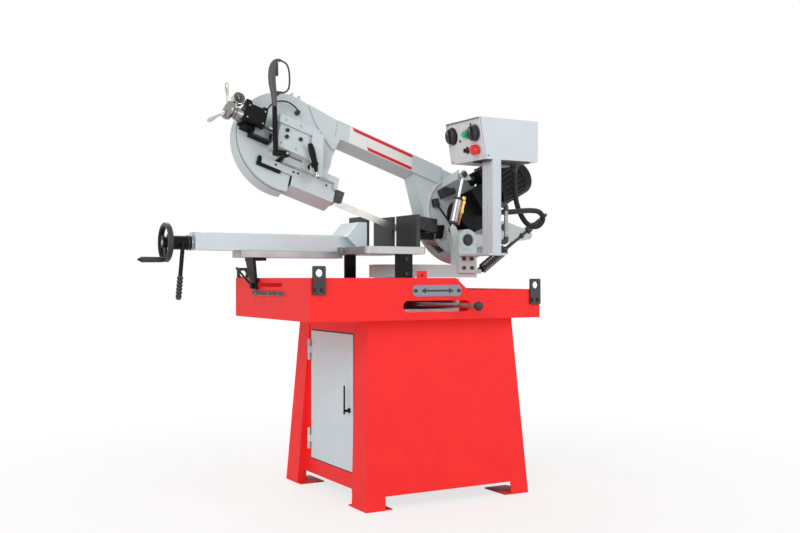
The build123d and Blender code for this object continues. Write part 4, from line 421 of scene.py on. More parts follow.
# Camera, lights and floor
FOCAL_PIXELS, PHOTO_WIDTH, SENSOR = 1003.0, 800.0, 36.0
CAMERA_PLACE = (-2.0494, -3.5787, 0.850)
CAMERA_TILT, CAMERA_YAW = math.radians(90.65), math.radians(-29.617)
LAMPS = (
    ("key", (-3.9, -3.2, 3.3), (0, 0, 0.9), 2.8, 108),
    ("fill", (2.2, -4.0, 2.0), (0, 0, 0.9), 2.8, 46),
    ("back", (0.5, 3.2, 3.2), (0, 0, 1.0), 2.4, 40),
)
WORLD_LIGHT = 0.55
FLOOR_REACH, FLOOR_TONE = 30, 0.86
FADE_START, FADE_END, WHITE_AT_START = 0.5, 2.6, 0.74


def make_stage():
    """Camera at the photograph's place, soft lamps, and a white floor and world."""
    lens = bpy.data.cameras.new("camera")
    lens.sensor_width = SENSOR
    lens.lens = FOCAL_PIXELS * SENSOR / PHOTO_WIDTH
    lens.clip_end = 100
    camera = bpy.data.objects.new("camera", lens)
    scene.collection.objects.link(camera)
    camera.location = CAMERA_PLACE
    camera.rotation_euler = (CAMERA_TILT, 0, CAMERA_YAW)
    scene.camera = camera
    for name, place, aim, size, power in LAMPS:
        lamp = bpy.data.lights.new(name, "AREA")
        lamp.size = size
        lamp.energy = power
        holder = bpy.data.objects.new(name, lamp)
        scene.collection.objects.link(holder)
        holder.location = place
        holder.rotation_euler = (Vector(aim) - Vector(place)).to_track_quat("-Z", "Y").to_euler()
    world = bpy.data.worlds.new("studio")
    scene.world = world
    world.use_nodes = True
    tree = world.node_tree
    lit = tree.nodes["Background"]
    lit.inputs["Color"].default_value = (1, 1, 1, 1)
    lit.inputs["Strength"].default_value = WORLD_LIGHT
    seen = tree.nodes.new("ShaderNodeBackground")
    seen.inputs["Color"].default_value = (1, 1, 1, 1)
    mix = tree.nodes.new("ShaderNodeMixShader")
    tree.links.new(seen_directly(tree), mix.inputs["Fac"])
    tree.links.new(lit.outputs[0], mix.inputs[1])
    tree.links.new(seen.outputs[0], mix.inputs[2])
    tree.links.new(mix.outputs[0], tree.nodes["World Output"].inputs["Surface"])
    make_floor()


def make_floor():
    """Pale floor that keeps the shadow near the object and fades to white further out."""
    mesh = bpy.data.meshes.new("floor")
    corners = [(x, y, 0) for x, y in box_outline(-FLOOR_REACH, FLOOR_REACH, -FLOOR_REACH, FLOOR_REACH)]
    mesh.from_pydata(corners, [], [(0, 1, 2, 3)])
    floor = bpy.data.objects.new("floor", mesh)
    scene.collection.objects.link(floor)
    skin = bpy.data.materials.new("floor")
    skin.use_nodes = True
    tree = skin.node_tree
    plain = tree.nodes["Principled BSDF"]
    plain.inputs["Base Color"].default_value = (FLOOR_TONE, FLOOR_TONE, FLOOR_TONE, 1)
    plain.inputs["Roughness"].default_value = 0.7
    plain.inputs["Specular IOR Level"].default_value = 0.2
    coords = tree.nodes.new("ShaderNodeTexCoord")
    away = tree.nodes.new("ShaderNodeVectorMath")
    away.operation = "LENGTH"
    tree.links.new(coords.outputs["Object"], away.inputs[0])
    fade = tree.nodes.new("ShaderNodeMapRange")
    fade.interpolation_type = "SMOOTHSTEP"
    fade.inputs["From Min"].default_value = FADE_START
    fade.inputs["From Max"].default_value = FADE_END
    fade.inputs["To Min"].default_value = WHITE_AT_START
    tree.links.new(away.outputs["Value"], fade.inputs["Value"])
    share = tree.nodes.new("ShaderNodeMath")
    share.operation = "MULTIPLY"
    tree.links.new(fade.outputs["Result"], share.inputs[0])
    tree.links.new(seen_directly(tree), share.inputs[1])
    glow = tree.nodes.new("ShaderNodeEmission")
    mix = tree.nodes.new("ShaderNodeMixShader")
    tree.links.new(share.outputs[0], mix.inputs["Fac"])
    tree.links.new(plain.outputs[0], mix.inputs[1])
    tree.links.new(glow.outputs[0], mix.inputs[2])
    tree.links.new(mix.outputs[0], tree.nodes["Material Output"].inputs["Surface"])
    mesh.materials.append(skin)


def seen_directly(tree):
    """One for rays from the camera, reflections and glass, else zero."""
    path = tree.nodes.new("ShaderNodeLightPath")
    found = path.outputs["Is Camera Ray"]
    for kind in ("Is Glossy Ray", "Is Transmission Ray"):
        larger = tree.nodes.new("ShaderNodeMath")
        larger.operation = "MAXIMUM"
        tree.links.new(found, larger.inputs[0])
        tree.links.new(path.outputs[kind], larger.inputs[1])
        found = larger.outputs[0]
    return found


make_stage()

# Conduit between the control box and its post, with a tapered gland at each end
CONDUIT = (
    (452, -150, 1322), (452, -150, 1262), (455, -153, 1190), (472, -158, 1126),
    (508, -166, 1072), (555, -176, 1062), (582, -186, 1098), (552, -198, 1130),
    (490, -212, 1132), (410, -236, 1124), (340, -254, 1116), (281, -254, 1116),
)
GLAND = [(11.5, 0), (17, 0), (17, 8), (15, 10), (14, 24), (11.5, 30)]
conduit = tube("motor_conduit_hose", [spot(*p) for p in CONDUIT], 11, RUBBER, "swivel")
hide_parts("motor_conduit")
for name, place, axis in (("box_gland", CONDUIT[0], (0, 0, -1)), ("post_gland", CONDUIT[-1], -LEFTWARD)):
    lathe(name, GLAND, facing(spot(*place), axis), PLASTIC, "swivel", 24)

# Ribbed wiring pipe beside the post, with an elbow at each end
POST_RIGHT, PIPE_X, PIPE_Y, PIPE_LOW, PIPE_HIGH = 281, 314, -284, 1004, 1132
pipe = [(0, PIPE_LOW)]
for rib in range(PIPE_LOW, PIPE_HIGH, 8):
    pipe += [(8, rib), (9, rib + 2), (8, rib + 5), (7.2, rib + 7)]
pipe.append((0, PIPE_HIGH))
lathe("wiring_pipe", pipe, Matrix.Translation(spot(PIPE_X, PIPE_Y, 0)), STEEL, "swivel", 20)
for name, z, way in (("high", PIPE_HIGH - 4, 1), ("low", PIPE_LOW + 4, -1)):
    elbow = ((POST_RIGHT, z + 14 * way), (306, z + 14 * way), (PIPE_X, z + 12 * way), (PIPE_X, z - 8 * way))
    tube(f"wiring_elbow_{name}", [spot(x, PIPE_Y, height) for x, height in elbow], 10.5, PLASTIC, "swivel")

# CAD nodes with rounded edges, and their widths in metres
for names, skin, width in (
    (("stand_cabinet", "coolant_tray"), RED, 0.0015),
    (("cabinet_door", "vice_beam"), COOL_GREY, 0.0015),
    (("swivel_arm", "post_bracket", "bow_frame", "tail_bracket", "slideways", "guide_arm", "idler_cover",
      "drive_cover", "base_casting", "coolant_tank", "tension_block"), GREY, 0.0015),
    (("blade_guard",), GREY, 0.0005),
    (("tray_plates",), PLATE_GREY, 0.0006),
    # The post wears the lighter box paint rather than the grey paint: painted light, brightening it for the
    # light that falls on it.
    (("control_box", "control_post"), BOX_GREY, 0.0012),
    (("control_panel",), PANEL_WHITE, 0.0008),
    (("lifting_lugs", "guide_block", "fixed_guide"), BLACK, 0.001),
    (("bed_supports", "bed_lock_lever", "vice_clamp"), DEEP_BLACK, 0.001),
    (("handwheel",), DEEP_BLACK, 0.002),
    (("fixed_jaws", "moving_jaw"), JAW, 0.001),
    (("vice_bed", "idler_wheel", "drive_wheel"), GROUND, 0.001),
    (("gearbox", "motor", "coolant_pump"), CAST_BLACK, 0.0015),
    (("trigger", "main_switch", "speed_switch", "mode_switch"), PLASTIC, 0.002),
    (("start_button",), GREEN, 0.001),
    (("stop_button",), STOP_RED, 0.0004),
    (("feed_rod",), CHROME, 0.0008),
    (("feed_cylinder",), STEEL, 0.0008),
    (("feed_valve", "vice_nut"), BRASS, 0.0006),
):
    for node in names:
        dress(node, skin, width)

# CAD nodes that are only painted
for node, skin in (
    ("vice_screw", STEEL), ("door_hinges", GREY), ("pivot_shaft", JAW), ("drive_shaft", STEEL),
    ("saw_blade", BLADE_STEEL), ("lock_lever", STEEL),
):
    paint(node, skin)

# Beam: plain striped field, and the swell where it runs into the idler case
CASE_FRONT, BEAM_FRONT, FILM = 34, 43, 0.5
prism("beam_field", [(-576, 262), (-262, 262), (-268, 333), (-582, 333)], FILM, face(BEAM_FRONT), WHITE,
      "bow")
for name, outline in (
    ("high", [(-560, 319), (-267, 319), (-268, 333), (-572, 333)]),
    ("low", [(-480, 262), (-262, 262), (-263, 276), (-490, 276)]),
):
    prism(f"beam_stripe_{name}", outline, 0.4, face(BEAM_FRONT + FILM), STRIPE, "bow")
prism("beam_root", [(-640, 336), (-782, 350), (-762, 318), (-735, 281), (-700, 246), (-662, 213), (-634, 194),
                    (-623, 222), (-612, 260), (-640, 260)], 9, face(CASE_FRONT), GREY, "bow", 8, 5)

# Cases: idler seam, drive rim, angle bar, slide plate, screws of the slide, cable plug and switch window
IDLER_CENTRE, DRIVE_CENTRE, SLIDE_PLATE, SWITCH_FRONT = (-840, 150), (30, 150), 12, 72
tube("idler_case_seam", arc(IDLER_CENTRE, 208, 98, 280, 19.8), 1.7, RUBBER, "bow")
tube("drive_case_rim", arc(DRIVE_CENTRE, 180, 82, 236, 36), 6.5, GREY, "bow")
prism("angle_bar", [(-944, 4), (-842, 4), (-842, 13), (-933, 13), (-933, 40), (-944, 40)], 16,
      face(CASE_FRONT), DEEP_BLACK, "bow", 1)
prism("slide_plate", box_outline(-928, -748, 15, 45), SLIDE_PLATE, face(CASE_FRONT), GREY, "bow", 1.5)
bolts("slide_plate_screw", [bow(x, 30, CASE_FRONT + SLIDE_PLATE) for x in (-868, -790)], OUTWARD, 4.5, 2.5,
      "bow")
bolts("carriage_bolt", [bow(x, v, 88) for x, v in ((-868, 167), (-865, 139), (-806, 153))], OUTWARD, 8, 8,
      "carriage")
for i, x in enumerate((-885, -820, -755)):
    for side, v in (("high", 204), ("low", 100)):
        bolt(f"slideway_screw_{side}_{i}", bow(x, v, 97.5), OUTWARD, 4.5, 3, "bow", STEEL)
lathe("switch_plug", [(0, 0), (10, 0), (10, 9), (7, 12), (7, 20), (4, 23), (0, 23)],
      facing(bow(-822, 290, CASE_FRONT), OUTWARD), PLASTIC, "bow")
prism("switch_window", box_outline(-994, -932, 103, 131), 7, face(SWITCH_FRONT), CLEAR, "bow", 2)
prism("switch_frame", box_outline(-1000, -921, 98, 108), 4, face(SWITCH_FRONT), PLASTIC, "bow", 1)

# Pistol handle: oval grip, the thin ring that guards its trigger, arm, bent foot, post and web
HANDLE_TURN = math.radians(13.5)
HANDLE = facing(bow(-905, 46, 112), OUTWARD, ALONG * math.cos(HANDLE_TURN) + UPWARD * math.sin(HANDLE_TURN))


def handle(*points):
    """Points in the middle plane of the pistol handle, given in millimetres."""
    return [HANDLE @ spot(x, y, 0) for x, y in points]


grip_spine = handle((0, 172), (0, 222), (-3, 250), (-8, 280), (-9, 320), (-6, 355), (5, 381), (20, 391),
                    (36, 391))
GRIP_HALVES = [(10.5, 10.5), (11, 11), (12.5, 12), (15.5, 13), (16, 13.5), (14.5, 13), (10.5, 11.5), (7, 9),
               (5, 6)]
grip = limb("handle_grip", grip_spine, GRIP_HALVES, OUTWARD, GRIP, "bow")
tube("handle_ring", handle((28, 391), (48, 389), (63, 376), (69, 345), (69, 305), (64, 274), (47, 256),
                           (26, 252), (2, 252)), 3.6, PLASTIC, "bow")
limb("handle_arm", handle((0, -12), (0, 8), (0, 60), (0, 140), (0, 226)),
     [(8, 9), (10.5, 10), (10.5, 9.5), (10.5, 9.5), (9.5, 9)], OUTWARD, DEEP_BLACK, "bow")
prism("handle_foot", [(-10, -15), (50, -15), (56, -9), (56, 2), (50, 8), (-10, 8)], 20,
      shifted(HANDLE, 0, 0, -10), DEEP_BLACK, "bow", 2.5)
lathe("handle_post", [(0, -78), (9, -78), (8, -70), (8, -10), (0, -10)], shifted(HANDLE, 46, -3, 0),
      DEEP_BLACK, "bow")
bolt("handle_bolt", HANDLE @ spot(44, -3, 10), OUTWARD, 6, 4, "bow", STEEL)
limb("handle_web", handle((6, 240), (16, 248), (27, 253), (38, 254)),
     [(11, 8), (8, 7), (5.5, 5.5), (3.5, 3.5)], OUTWARD, PLASTIC, "bow")
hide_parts("pistol_handle")

# Blade tension: hub on its screw, with three paddle arms
TENSION_V, TENSION_W = 152, 75
TENSION = facing(bow(-1056.5, TENSION_V, TENSION_W), -ALONG, UPWARD)
ARM_ROOT, ARM_REACH, ARM_LEAN = Vector((-1113, TENSION_V, TENSION_W)), 98, 40
ARM_STATIONS = (0.2, 0.45, 0.6, 0.72, 0.86, 0.96, 1.0)
ARM_HALVES = [(6, 6), (5, 5), (6, 5.5), (10, 8), (12, 9), (9, 7), (4, 3)]
# The hub wears the darkened chrome, a painted reflection.
hub = lathe("tension_hub", [(0, 0), (24, 0), (25, 3), (25, 28), (21, 31), (21, 37), (30, 41), (36, 47),
                            (37, 57), (35, 66), (27, 72), (15, 75), (0, 75)], TENSION, HUB_CHROME,
            "tension", 48)
lathe("tension_screw", [(0, -143), (8, -143), (9, -141), (9, 0), (0, 0)], TENSION, STEEL, "tension")
for i, degrees in enumerate((75, 195, 315)):
    turn = math.radians(degrees)
    reach = Vector((-ARM_LEAN, ARM_REACH * math.sin(turn), ARM_REACH * math.cos(turn)))
    spine = [bow(*(ARM_ROOT + reach * share)) for share in ARM_STATIONS]
    limb(f"tension_arm_{i}", spine, ARM_HALVES, ALONG, CHROME, "tension")
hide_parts("tension_handle")

# Bracket of the tension screw: block with a screwed cover, foot, switch box, and lugs for gauge and cable
BLOCK_DEPTH, COVER_DEPTH = 70, 2
BLOCK_FRONT = CASE_FRONT + BLOCK_DEPTH
bracket = prism("bracket_block", box_outline(-1056, -966, 129, 205), BLOCK_DEPTH, face(CASE_FRONT),
                DEEP_BLACK, "bow", 3, 3)
prism("bracket_cover", box_outline(-1050, -972, 135, 199), COVER_DEPTH, face(BLOCK_FRONT), DEEP_BLACK,
      "bow", 1)
bolts("bracket_screw", [bow(x, v, BLOCK_FRONT + COVER_DEPTH) for x, v in box_outline(-1044, -978, 193, 141)],
      OUTWARD, 3.5, 2, "bow", STEEL)
prism("bracket_foot", box_outline(-1042, -970, 117, 131), 44, face(CASE_FRONT), DEEP_BLACK, "bow", 2)
prism("bracket_lug", [(-1056, 203), (-1022, 203), (-1034, 226), (-1056, 226)], 28, face(61), DEEP_BLACK,
      "bow", 2)
prism("switch_box", box_outline(-1004, -917, 100, 134), SWITCH_FRONT - CASE_FRONT, face(CASE_FRONT),
      DEEP_BLACK, "bow", 2)
prism("cable_lug", box_outline(-984, -962, 203, 221), 20, face(72), DEEP_BLACK, "bow", 3)
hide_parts("tension_bracket")

# Cabinet door: dark line of painted shade in the gap round it, and a slim lever that clears the cabinet's
# corner
BAY_FACE, DOOR_FACE, LEVER_FACE = -325, -327, -347
# Thin dark frame behind the door's edge: painted shade in the gap between door and cabinet.
prism("door_gap_shade", [(-190, 640), (193, 640), (193, 110), (-190, 110), (-190, 113), (190, 113), (190, 637),
                    (-190, 637)], 0.4, left(BAY_FACE), RUBBER, "stand")
latch = lathe("latch_boss", [(0, 0.6), (10, 0.6), (10, 4), (5, 6), (5, 21), (0, 21)],
              facing(spot(DOOR_FACE, -160, 345), LEFTWARD), DEEP_BLACK, "door_latch", 28)
prism("latch_lever", [(156, 333), (158, 331), (162, 331), (164, 333), (163.5, 437), (162, 441), (158, 441),
                      (156.5, 437)], 5, left(LEVER_FACE), DEEP_BLACK, "door_latch", 1.5)
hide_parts("door_handle")

# Dark strip on the rail at the tray's left side
RAIL_FACE, RAIL_Z, STRIP = -593, 791, 1
prism("side_rail_strip", box_outline(-170, 140, RAIL_Z - 7, RAIL_Z + 7), STRIP, left(RAIL_FACE), JAW,
      "stand", 0.4)
bolts("side_rail_screw", [spot(RAIL_FACE - STRIP, y, RAIL_Z) for y in (130, 0, -100)], LEFTWARD, 4, 2,
      "stand", STEEL)

# Tension gauge: case, glass, dial marks, needle and stem
GAUGE_V = 214
GAUGE = facing(bow(-1086, GAUGE_V, 62), OUTWARD, UPWARD)


def dial(degrees, height):
    """Placing matrix on the gauge, turned about its middle."""
    return shifted(GAUGE @ Matrix.Rotation(math.radians(degrees), 4, "Z"), 0, 0, height)


gauge = lathe("gauge_case", [(0, 0), (22, 0), (26, 3), (26, 20), (25, 25), (22.6, 26), (22.2, 23.5),
                             (0, 23.5)], GAUGE, CHROME, "bow", 48)
lathe("gauge_glass", [(0, 23.6), (22, 23.6), (22, 24.2), (0, 24.6)], GAUGE, GLASS, "bow", 48)
for i in range(9):
    prism(f"gauge_mark_{i}", box_outline(15.5, 19.5, -0.6, 0.6), 0.4, dial(-120 + 30 * i, 24.5), WHITE, "bow")
prism("gauge_needle", [(-4, -0.9), (15, -0.4), (15, 0.4), (-4, 0.9)], 0.5, dial(35, 24.6), WHITE, "bow")
lathe("gauge_stem", [(0, 0), (8, 0), (8, 4), (6, 5), (6, 12), (0, 12)],
      facing(bow(-1065, GAUGE_V, TENSION_W), ALONG), CHROME, "bow")
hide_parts("tension_gauge")

# Sliding guide: upright angle, clamp lever with its ball, guard front and end plate
prism("guide_upright", [(-745, 26), (-690, 26), (-716, 206), (-768, 206)], 4, face(98.3), GREY, "bow", 1)
prism("guide_upright_flange", [(-700, 26), (-690, 26), (-698, 84), (-708, 84)], 26, face(72.8), GREY,
      "bow", 1)
clamp = lathe("guide_clamp_hub", [(0, 0), (11, 0), (11, 24), (13, 26), (13, 47), (9, 50), (0, 50)],
              facing(bow(-737, 63, 73), OUTWARD), DEEP_BLACK, "guide_lever")
CLAMP_LEVER = ((-774, 142, 113), (-768, 128, 114), (-757, 104, 115), (-748, 84, 116), (-739, 66, 117),
               (-729, 44, 116), (-721, 26, 114))
limb("guide_clamp_lever", [bow(*p) for p in CLAMP_LEVER],
     [(9, 6), (14, 9), (15, 9), (13, 9), (12, 8), (8, 7), (5, 5)], OUTWARD, DEEP_BLACK, "guide_lever")
knob("guide_clamp_ball", bow(-717, 18, 114), bow(-722, 30, 114) - bow(-728, 44, 116), 11, 3, CHROME,
     "guide_lever")
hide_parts("guide_clamp")
GUARD_BACK, GUARD_SHEET = 42.4, 3
prism("guard_front", box_outline(-790, -600, 16, 47.5), GUARD_SHEET, face(GUARD_BACK), GREY, "guide", 0.8)
prism("guard_end", [(-31, 14), (-27, 47), (54, 47), (54, 14)], 6, facing(bow(-597, 0, 0), ALONG, UPWARD),
      BLACK, "guide", 0.8)
bolts("guard_screw", [bow(x, 32, GUARD_BACK + GUARD_SHEET) for x in (-770, -640)], OUTWARD, 4.5, 2.5, "guide")

# Fixed guide: holder on its plate, side block on the case, lower jaw and rollers
HOLDER_BACK, HOLDER_DEPTH = 46, 13
prism("guide_holder", [(-194, 34), (-172, 48), (-134, 53), (-99, 60), (-97, 24), (-126, 13), (-174, 8),
                       (-192, 8)], HOLDER_DEPTH, face(HOLDER_BACK), BLACK, "bow", 3)
HOLDER_BOLTS = ((-151, 41), (-153, 24), (-128, 42), (-118, 26))
bolts("fixed_guide_bolt", [bow(x, v, HOLDER_BACK + HOLDER_DEPTH) for x, v in HOLDER_BOLTS], OUTWARD, 4.5, 3,
      "bow")
prism("guide_side_block", [(-104, 58), (-62, 76), (-64, 12), (-92, 2)], 20, face(CASE_FRONT), CAST_BLACK,
      "bow", 4, 3)
prism("guide_lower_jaw", [(-186, -8), (-167, 5), (-123, 14), (-101, 15), (-104, -6), (-132, -11),
                          (-178, -11)], 26, face(21), CAST_BLACK, "bow", 3)
for i, x in enumerate((-184, -152)):
    lathe(f"fixed_guide_roller_{i}", [(0, 0), (11, 0), (11, 7), (8, 8), (8, 6), (4, 6), (4, 9), (0, 9)],
          facing(blade(x, -22, 20), FRONTWARD), JAW, "bow", 28)

# Saw teeth along the lower edge of the blade, where it shows between its guides
TEETH, PITCH, FIRST_TOOTH, TOOTH_LEAN = 76, 5.0, -585.0, 1.2
ROOT, GULLET, TIP = -13.2, -14.1, -16.2
LAST_TOOTH = FIRST_TOOTH + TEETH * PITCH
TOOTH_PLANE = Matrix.Translation(blade(0, 0.22, 0)) @ Matrix((ALONG, ABOVE, FRONTWARD)).transposed().to_4x4()
teeth = [(LAST_TOOTH, ROOT), (FIRST_TOOTH, ROOT)]
for i in range(TEETH):
    teeth += [(FIRST_TOOTH + i * PITCH, GULLET), (FIRST_TOOTH + i * PITCH + TOOTH_LEAN, TIP)]
prism("blade_teeth", teeth + [(LAST_TOOTH, GULLET)], 0.82, TOOTH_PLANE, BLADE_STEEL, "bow")

# Back covers: two hand knobs at the free edge of each
UNBOW = BOW.inverted()
COVER_KNOB = [(0, 0), (12, 0), (12, 4), (9, 6), (9, 9), (17, 12), (18, 17), (15, 22), (0, 23)]
for node, body, places in (
    ("idler_cover", "idler_lid", ((-985, 120), (-965, 235))),
    ("drive_cover", "drive_lid", ((30, 15), (165, 130))),
):
    back = min((UNBOW @ point.co).z for point in nodes[node].data.vertices) / MM
    for i, (x, v) in enumerate(places):
        lathe(f"{node}_knob_{i}", COVER_KNOB, facing(bow(x, v, back), -OUTWARD), PLASTIC, body, 12, 20)

# Drive case: connection box with its lid, and plug
CONNECTION_DEPTH = 30
prism("connection_box", [(-116, 224), (-54, 268), (-34, 238), (-94, 190)], CONNECTION_DEPTH, face(CASE_FRONT),
      PLASTIC, "bow", 3)
prism("connection_lid", [(-110, 223), (-56, 261), (-40, 237), (-94, 197)], 3,
      face(CASE_FRONT + CONNECTION_DEPTH), BLACK, "bow", 1)
prism("connection_plug", [(-138, 172), (-112, 184), (-100, 152), (-126, 138)], 20, face(CASE_FRONT), PLASTIC,
      "bow", 3)

# Motor: terminal box on its upper side, with a screwed lid and the cable's gland
MOTOR_WAY = (ALONG + UPWARD).normalized()
MOTOR_UP = UPWARD - ALONG
MOTOR = facing(bow(75, 240, 118), MOTOR_WAY, MOTOR_UP)
BOX_TOP, LID_TOP = 118, 124
prism("terminal_box", box_outline(66, BOX_TOP, -44, 44), 160, MOTOR, CAST_BLACK, "bow", 7, 4)
prism("terminal_lid", box_outline(BOX_TOP, LID_TOP, -40, 40), 94, shifted(MOTOR, 0, 0, 61), CAST_BLACK,
      "bow", 2)
bolts("terminal_screw", [MOTOR @ spot(LID_TOP, y, z) for z in (67, 149) for y in (-34, 34)], MOTOR_UP, 4, 2.5,
      "bow", STEEL)
lathe("terminal_gland", [(0, 0), (12, 0), (12, 8), (9, 10), (9, 18), (6, 22), (0, 22)],
      facing(MOTOR @ spot(92, 0, 1), -MOTOR_WAY), PLASTIC, "bow", 6, 10)

# Down-feed cylinder: end caps, brass valve body, its tapered outlet, and the eye plate with its bolt
EYE_X, EYE_Z, EYE_BACK, EYE_PLATE = 281, 1286, -28.4, 3
FEED_FOOT, FEED_EYE = spot(224, -20, 1054), spot(EYE_X, -20, EYE_Z)
FEED_WAY = (FEED_EYE - FEED_FOOT).normalized()
FEED = facing(FEED_FOOT, FEED_WAY, (FEED_WAY.z, 0, -FEED_WAY.x))
VALVE = shifted(FEED, 27, 0, 0)
lathe("feed_cap_low", [(16.8, 22), (18.5, 23), (18.5, 33), (16.8, 34)], FEED, BLACK, "feed_barrel")
lathe("feed_cap_high", [(16.8, 128), (18.5, 129), (18.5, 139), (8, 141)], FEED, BLACK, "feed_barrel")
lathe("feed_valve_body", [(8, 76), (12, 78), (12, 92), (10, 93), (10, 116), (12, 117), (12, 131), (8, 133)],
      VALVE, BRASS, "feed_barrel", 6, 10)
lathe("feed_outlet", [(7.8, 78), (7.5, 62), (5, 55), (4.6, 34), (3, 26), (0, 26)], VALVE, COPPER,
      "feed_barrel")
lathe("feed_bolt_head", [(0, 0), (13, 0), (13, 4), (11, 6), (0, 6)],
      facing(spot(EYE_X, EYE_BACK - EYE_PLATE, EYE_Z), FRONTWARD), JAW, "bow", 6, 10)
prism("feed_eye_plate", [(266, 1272), (266, 1292), (274, 1300), (287, 1300), (298, 1292), (316, 1271),
                         (309, 1264), (290, 1266)], EYE_PLATE, front(EYE_BACK), GREY, "bow", 0.8)

# Pivot, post and control box trim
ARM_FRONT, POST_FRONT, POST_LEFT, POST_LOW, POST_HIGH, RIB = -66, -300, 239, 952, 1314, 3
lathe("pivot_cap", [(0, 0), (24, 0), (24, 2), (21, 4), (8, 4.4), (7, 3), (0, 3)],
      facing(spot(PIVOT_X, ARM_FRONT - 0.6, PIVOT_Z), FRONTWARD), JAW, "bow")
lathe("pivot_ring", [(28, 0), (43, 0), (43, 1.5), (41, 2.5), (30, 2.5), (28, 1.5)],
      facing(spot(PIVOT_X, ARM_FRONT, PIVOT_Z), FRONTWARD), GREY, "swivel")
bolts("bracket_bolt", [spot(x, ARM_FRONT - 10, z) for z in (892, 930) for x in (247, 287)], FRONTWARD, 8, 7,
      "swivel")
for i, x in enumerate((245.5, 258.5, 271.5)):
    prism(f"post_rib_front_{i}", box_outline(x, x + RIB, POST_LOW, POST_HIGH), 1.2, front(POST_FRONT), GREY,
          "swivel", 0.5)
for i, x in enumerate((234, 260, 286)):
    prism(f"post_rib_side_{i}", box_outline(x, x + RIB, POST_LOW, POST_HIGH), 1.2, left(POST_LEFT), GREY,
          "swivel", 0.5)
prism("box_tray", box_outline(212, 428, -292, -196), 6, Matrix.Translation(spot(0, 0, 1315.5)), BLACK,
      "swivel", 1)
bolt("box_screw", spot(218, -300, 1336), FRONTWARD, 3, 1.5, "swivel")

# Control panel: hood, dark strip of painted shadow under the hood, bezels, switch bars with their marks,
# domes, screws and lamps
PANEL_LEAN = math.atan2(28, 166)
PANEL_WAY = Vector((-math.cos(PANEL_LEAN), 0, -math.sin(PANEL_LEAN)))
PANEL = facing(spot(193, -178.5, 1405), PANEL_WAY, FRONTWARD)
PANEL_FACE, SHEET, BAR = 3, 1.5, 7
MAIN_SWITCH, SPEED_SWITCH, MODE_SWITCH, START, STOP = (-90, 30), (75, 25), (5, -38), (15, 27), (80, -42)


def on_panel(x, y, z=0):
    """Placing matrix on the control panel, in millimetres."""
    return PANEL @ Matrix.Translation(spot(x, y, z))


def panel_disc(name, radius, place, skin):
    """Thin disc round a hole of the panel."""
    top = PANEL_FACE + 0.3
    lathe(name, [(8.6, PANEL_FACE), (radius, PANEL_FACE), (radius, top), (8.6, top)], on_panel(*place),
          skin, "swivel")


prism("hood_top", box_outline(-121.5, 121.5, 82.6, 82.6 + SHEET), 13, on_panel(0, 0, -1), BOX_GREY,
      "swivel", 0.4)
for name, x in (("front", 120), ("back", -121.5)):
    prism(f"hood_{name}", box_outline(x, x + SHEET, -84, 84), 9, on_panel(0, 0, -1), BOX_GREY, "swivel", 0.4)
# Dark grey strip along the panel's top edge: painted shadow under the hood.
prism("panel_hood_shadow", box_outline(-119, 119, 78, 82.4), 0.8, on_panel(0, 0, PANEL_FACE), PLATE_GREY, "swivel")
panel_disc("main_switch_plate", 37, MAIN_SWITCH, BLACK)
lathe("start_bezel", [(14.5, 3), (19.5, 3), (19.5, 6), (17.5, 8.5), (14.5, 8.5), (14.5, 3)], on_panel(*START),
      CHROME, "swivel")
panel_disc("speed_switch_plate", 35, SPEED_SWITCH, PLATE_GREY)
panel_disc("stop_plate", 27, STOP, WHITE)
panel_disc("mode_switch_plate", 15, MODE_SWITCH, BLACK)
for name, place, z, wide, long in (
    ("main_switch", MAIN_SWITCH, 21.4, 7, 27),
    ("speed_switch", SPEED_SWITCH, 23.4, 6, 25),
    ("mode_switch", MODE_SWITCH, 17.4, 3, 8.5),
):
    prism(name + "_bar", box_outline(-wide, wide, -long, long), BAR, on_panel(*place, z), PLASTIC, name, 2)
    prism(name + "_mark", box_outline(-1, 1, 0.3 * long, 0.85 * long), 0.3, on_panel(*place, z + BAR), WHITE,
          name)
lathe("stop_dome", [(20, 0), (19.4, 2.5), (15, 4.6), (8, 5.6), (0, 6)], on_panel(*STOP, 31.4), STOP_RED,
      "stop_button")
lathe("start_dome", [(13.6, 0), (12, 1.2), (6, 1.8), (0, 2)], on_panel(*START, 21.4), GREEN, "start_button")
bolts("panel_screw", [PANEL @ spot(x, y, PANEL_FACE) for y in (76, -76) for x in (-114, 114)], PANEL_WAY,
      3.6, 2, "swivel", STEEL)
for i, place in enumerate(((-38, 4), (52, 62))):
    lathe(f"panel_lamp_{i}", [(0, 3), (5.5, 3), (5.5, 5), (4, 6.5), (0, 7)], on_panel(*place), GLASS,
          "swivel", 20)

# Return spring: a coil with a hooked end, stretched between the arm and the bow
LOW, HIGH = spot(390, 4, 886), spot(517, 4, 976)
SPRING_WAY = (HIGH - LOW).normalized()
COIL = facing(LOW, SPRING_WAY)
COIL_LENGTH = (HIGH - LOW).length / MM
COIL_TURNS, COIL_R, WIRE_R, TURN_STEPS, WIRE_SIDES = 14, 19.4, 3.3, 20, 10


def coil_mesh():
    """Round wire wound about z, between the two ends of the spring."""
    made = bmesh.new()
    rings = []
    steps = COIL_TURNS * TURN_STEPS
    for i in range(steps + 1):
        turn = 2 * math.pi * i / TURN_STEPS
        out = Vector((math.cos(turn), math.sin(turn), 0))
        middle = out * COIL_R + Vector((0, 0, WIRE_R + (COIL_LENGTH - 2 * WIRE_R) * i / steps))
        ring = []
        for way in turns(WIRE_SIDES):
            point = middle + out * WIRE_R * math.cos(way) + Vector((0, 0, WIRE_R * math.sin(way)))
            ring.append(made.verts.new(point * MM))
        rings.append(ring)
    join_rings(made, rings)
    return mesh_of(made, "return_spring_coil", COIL)


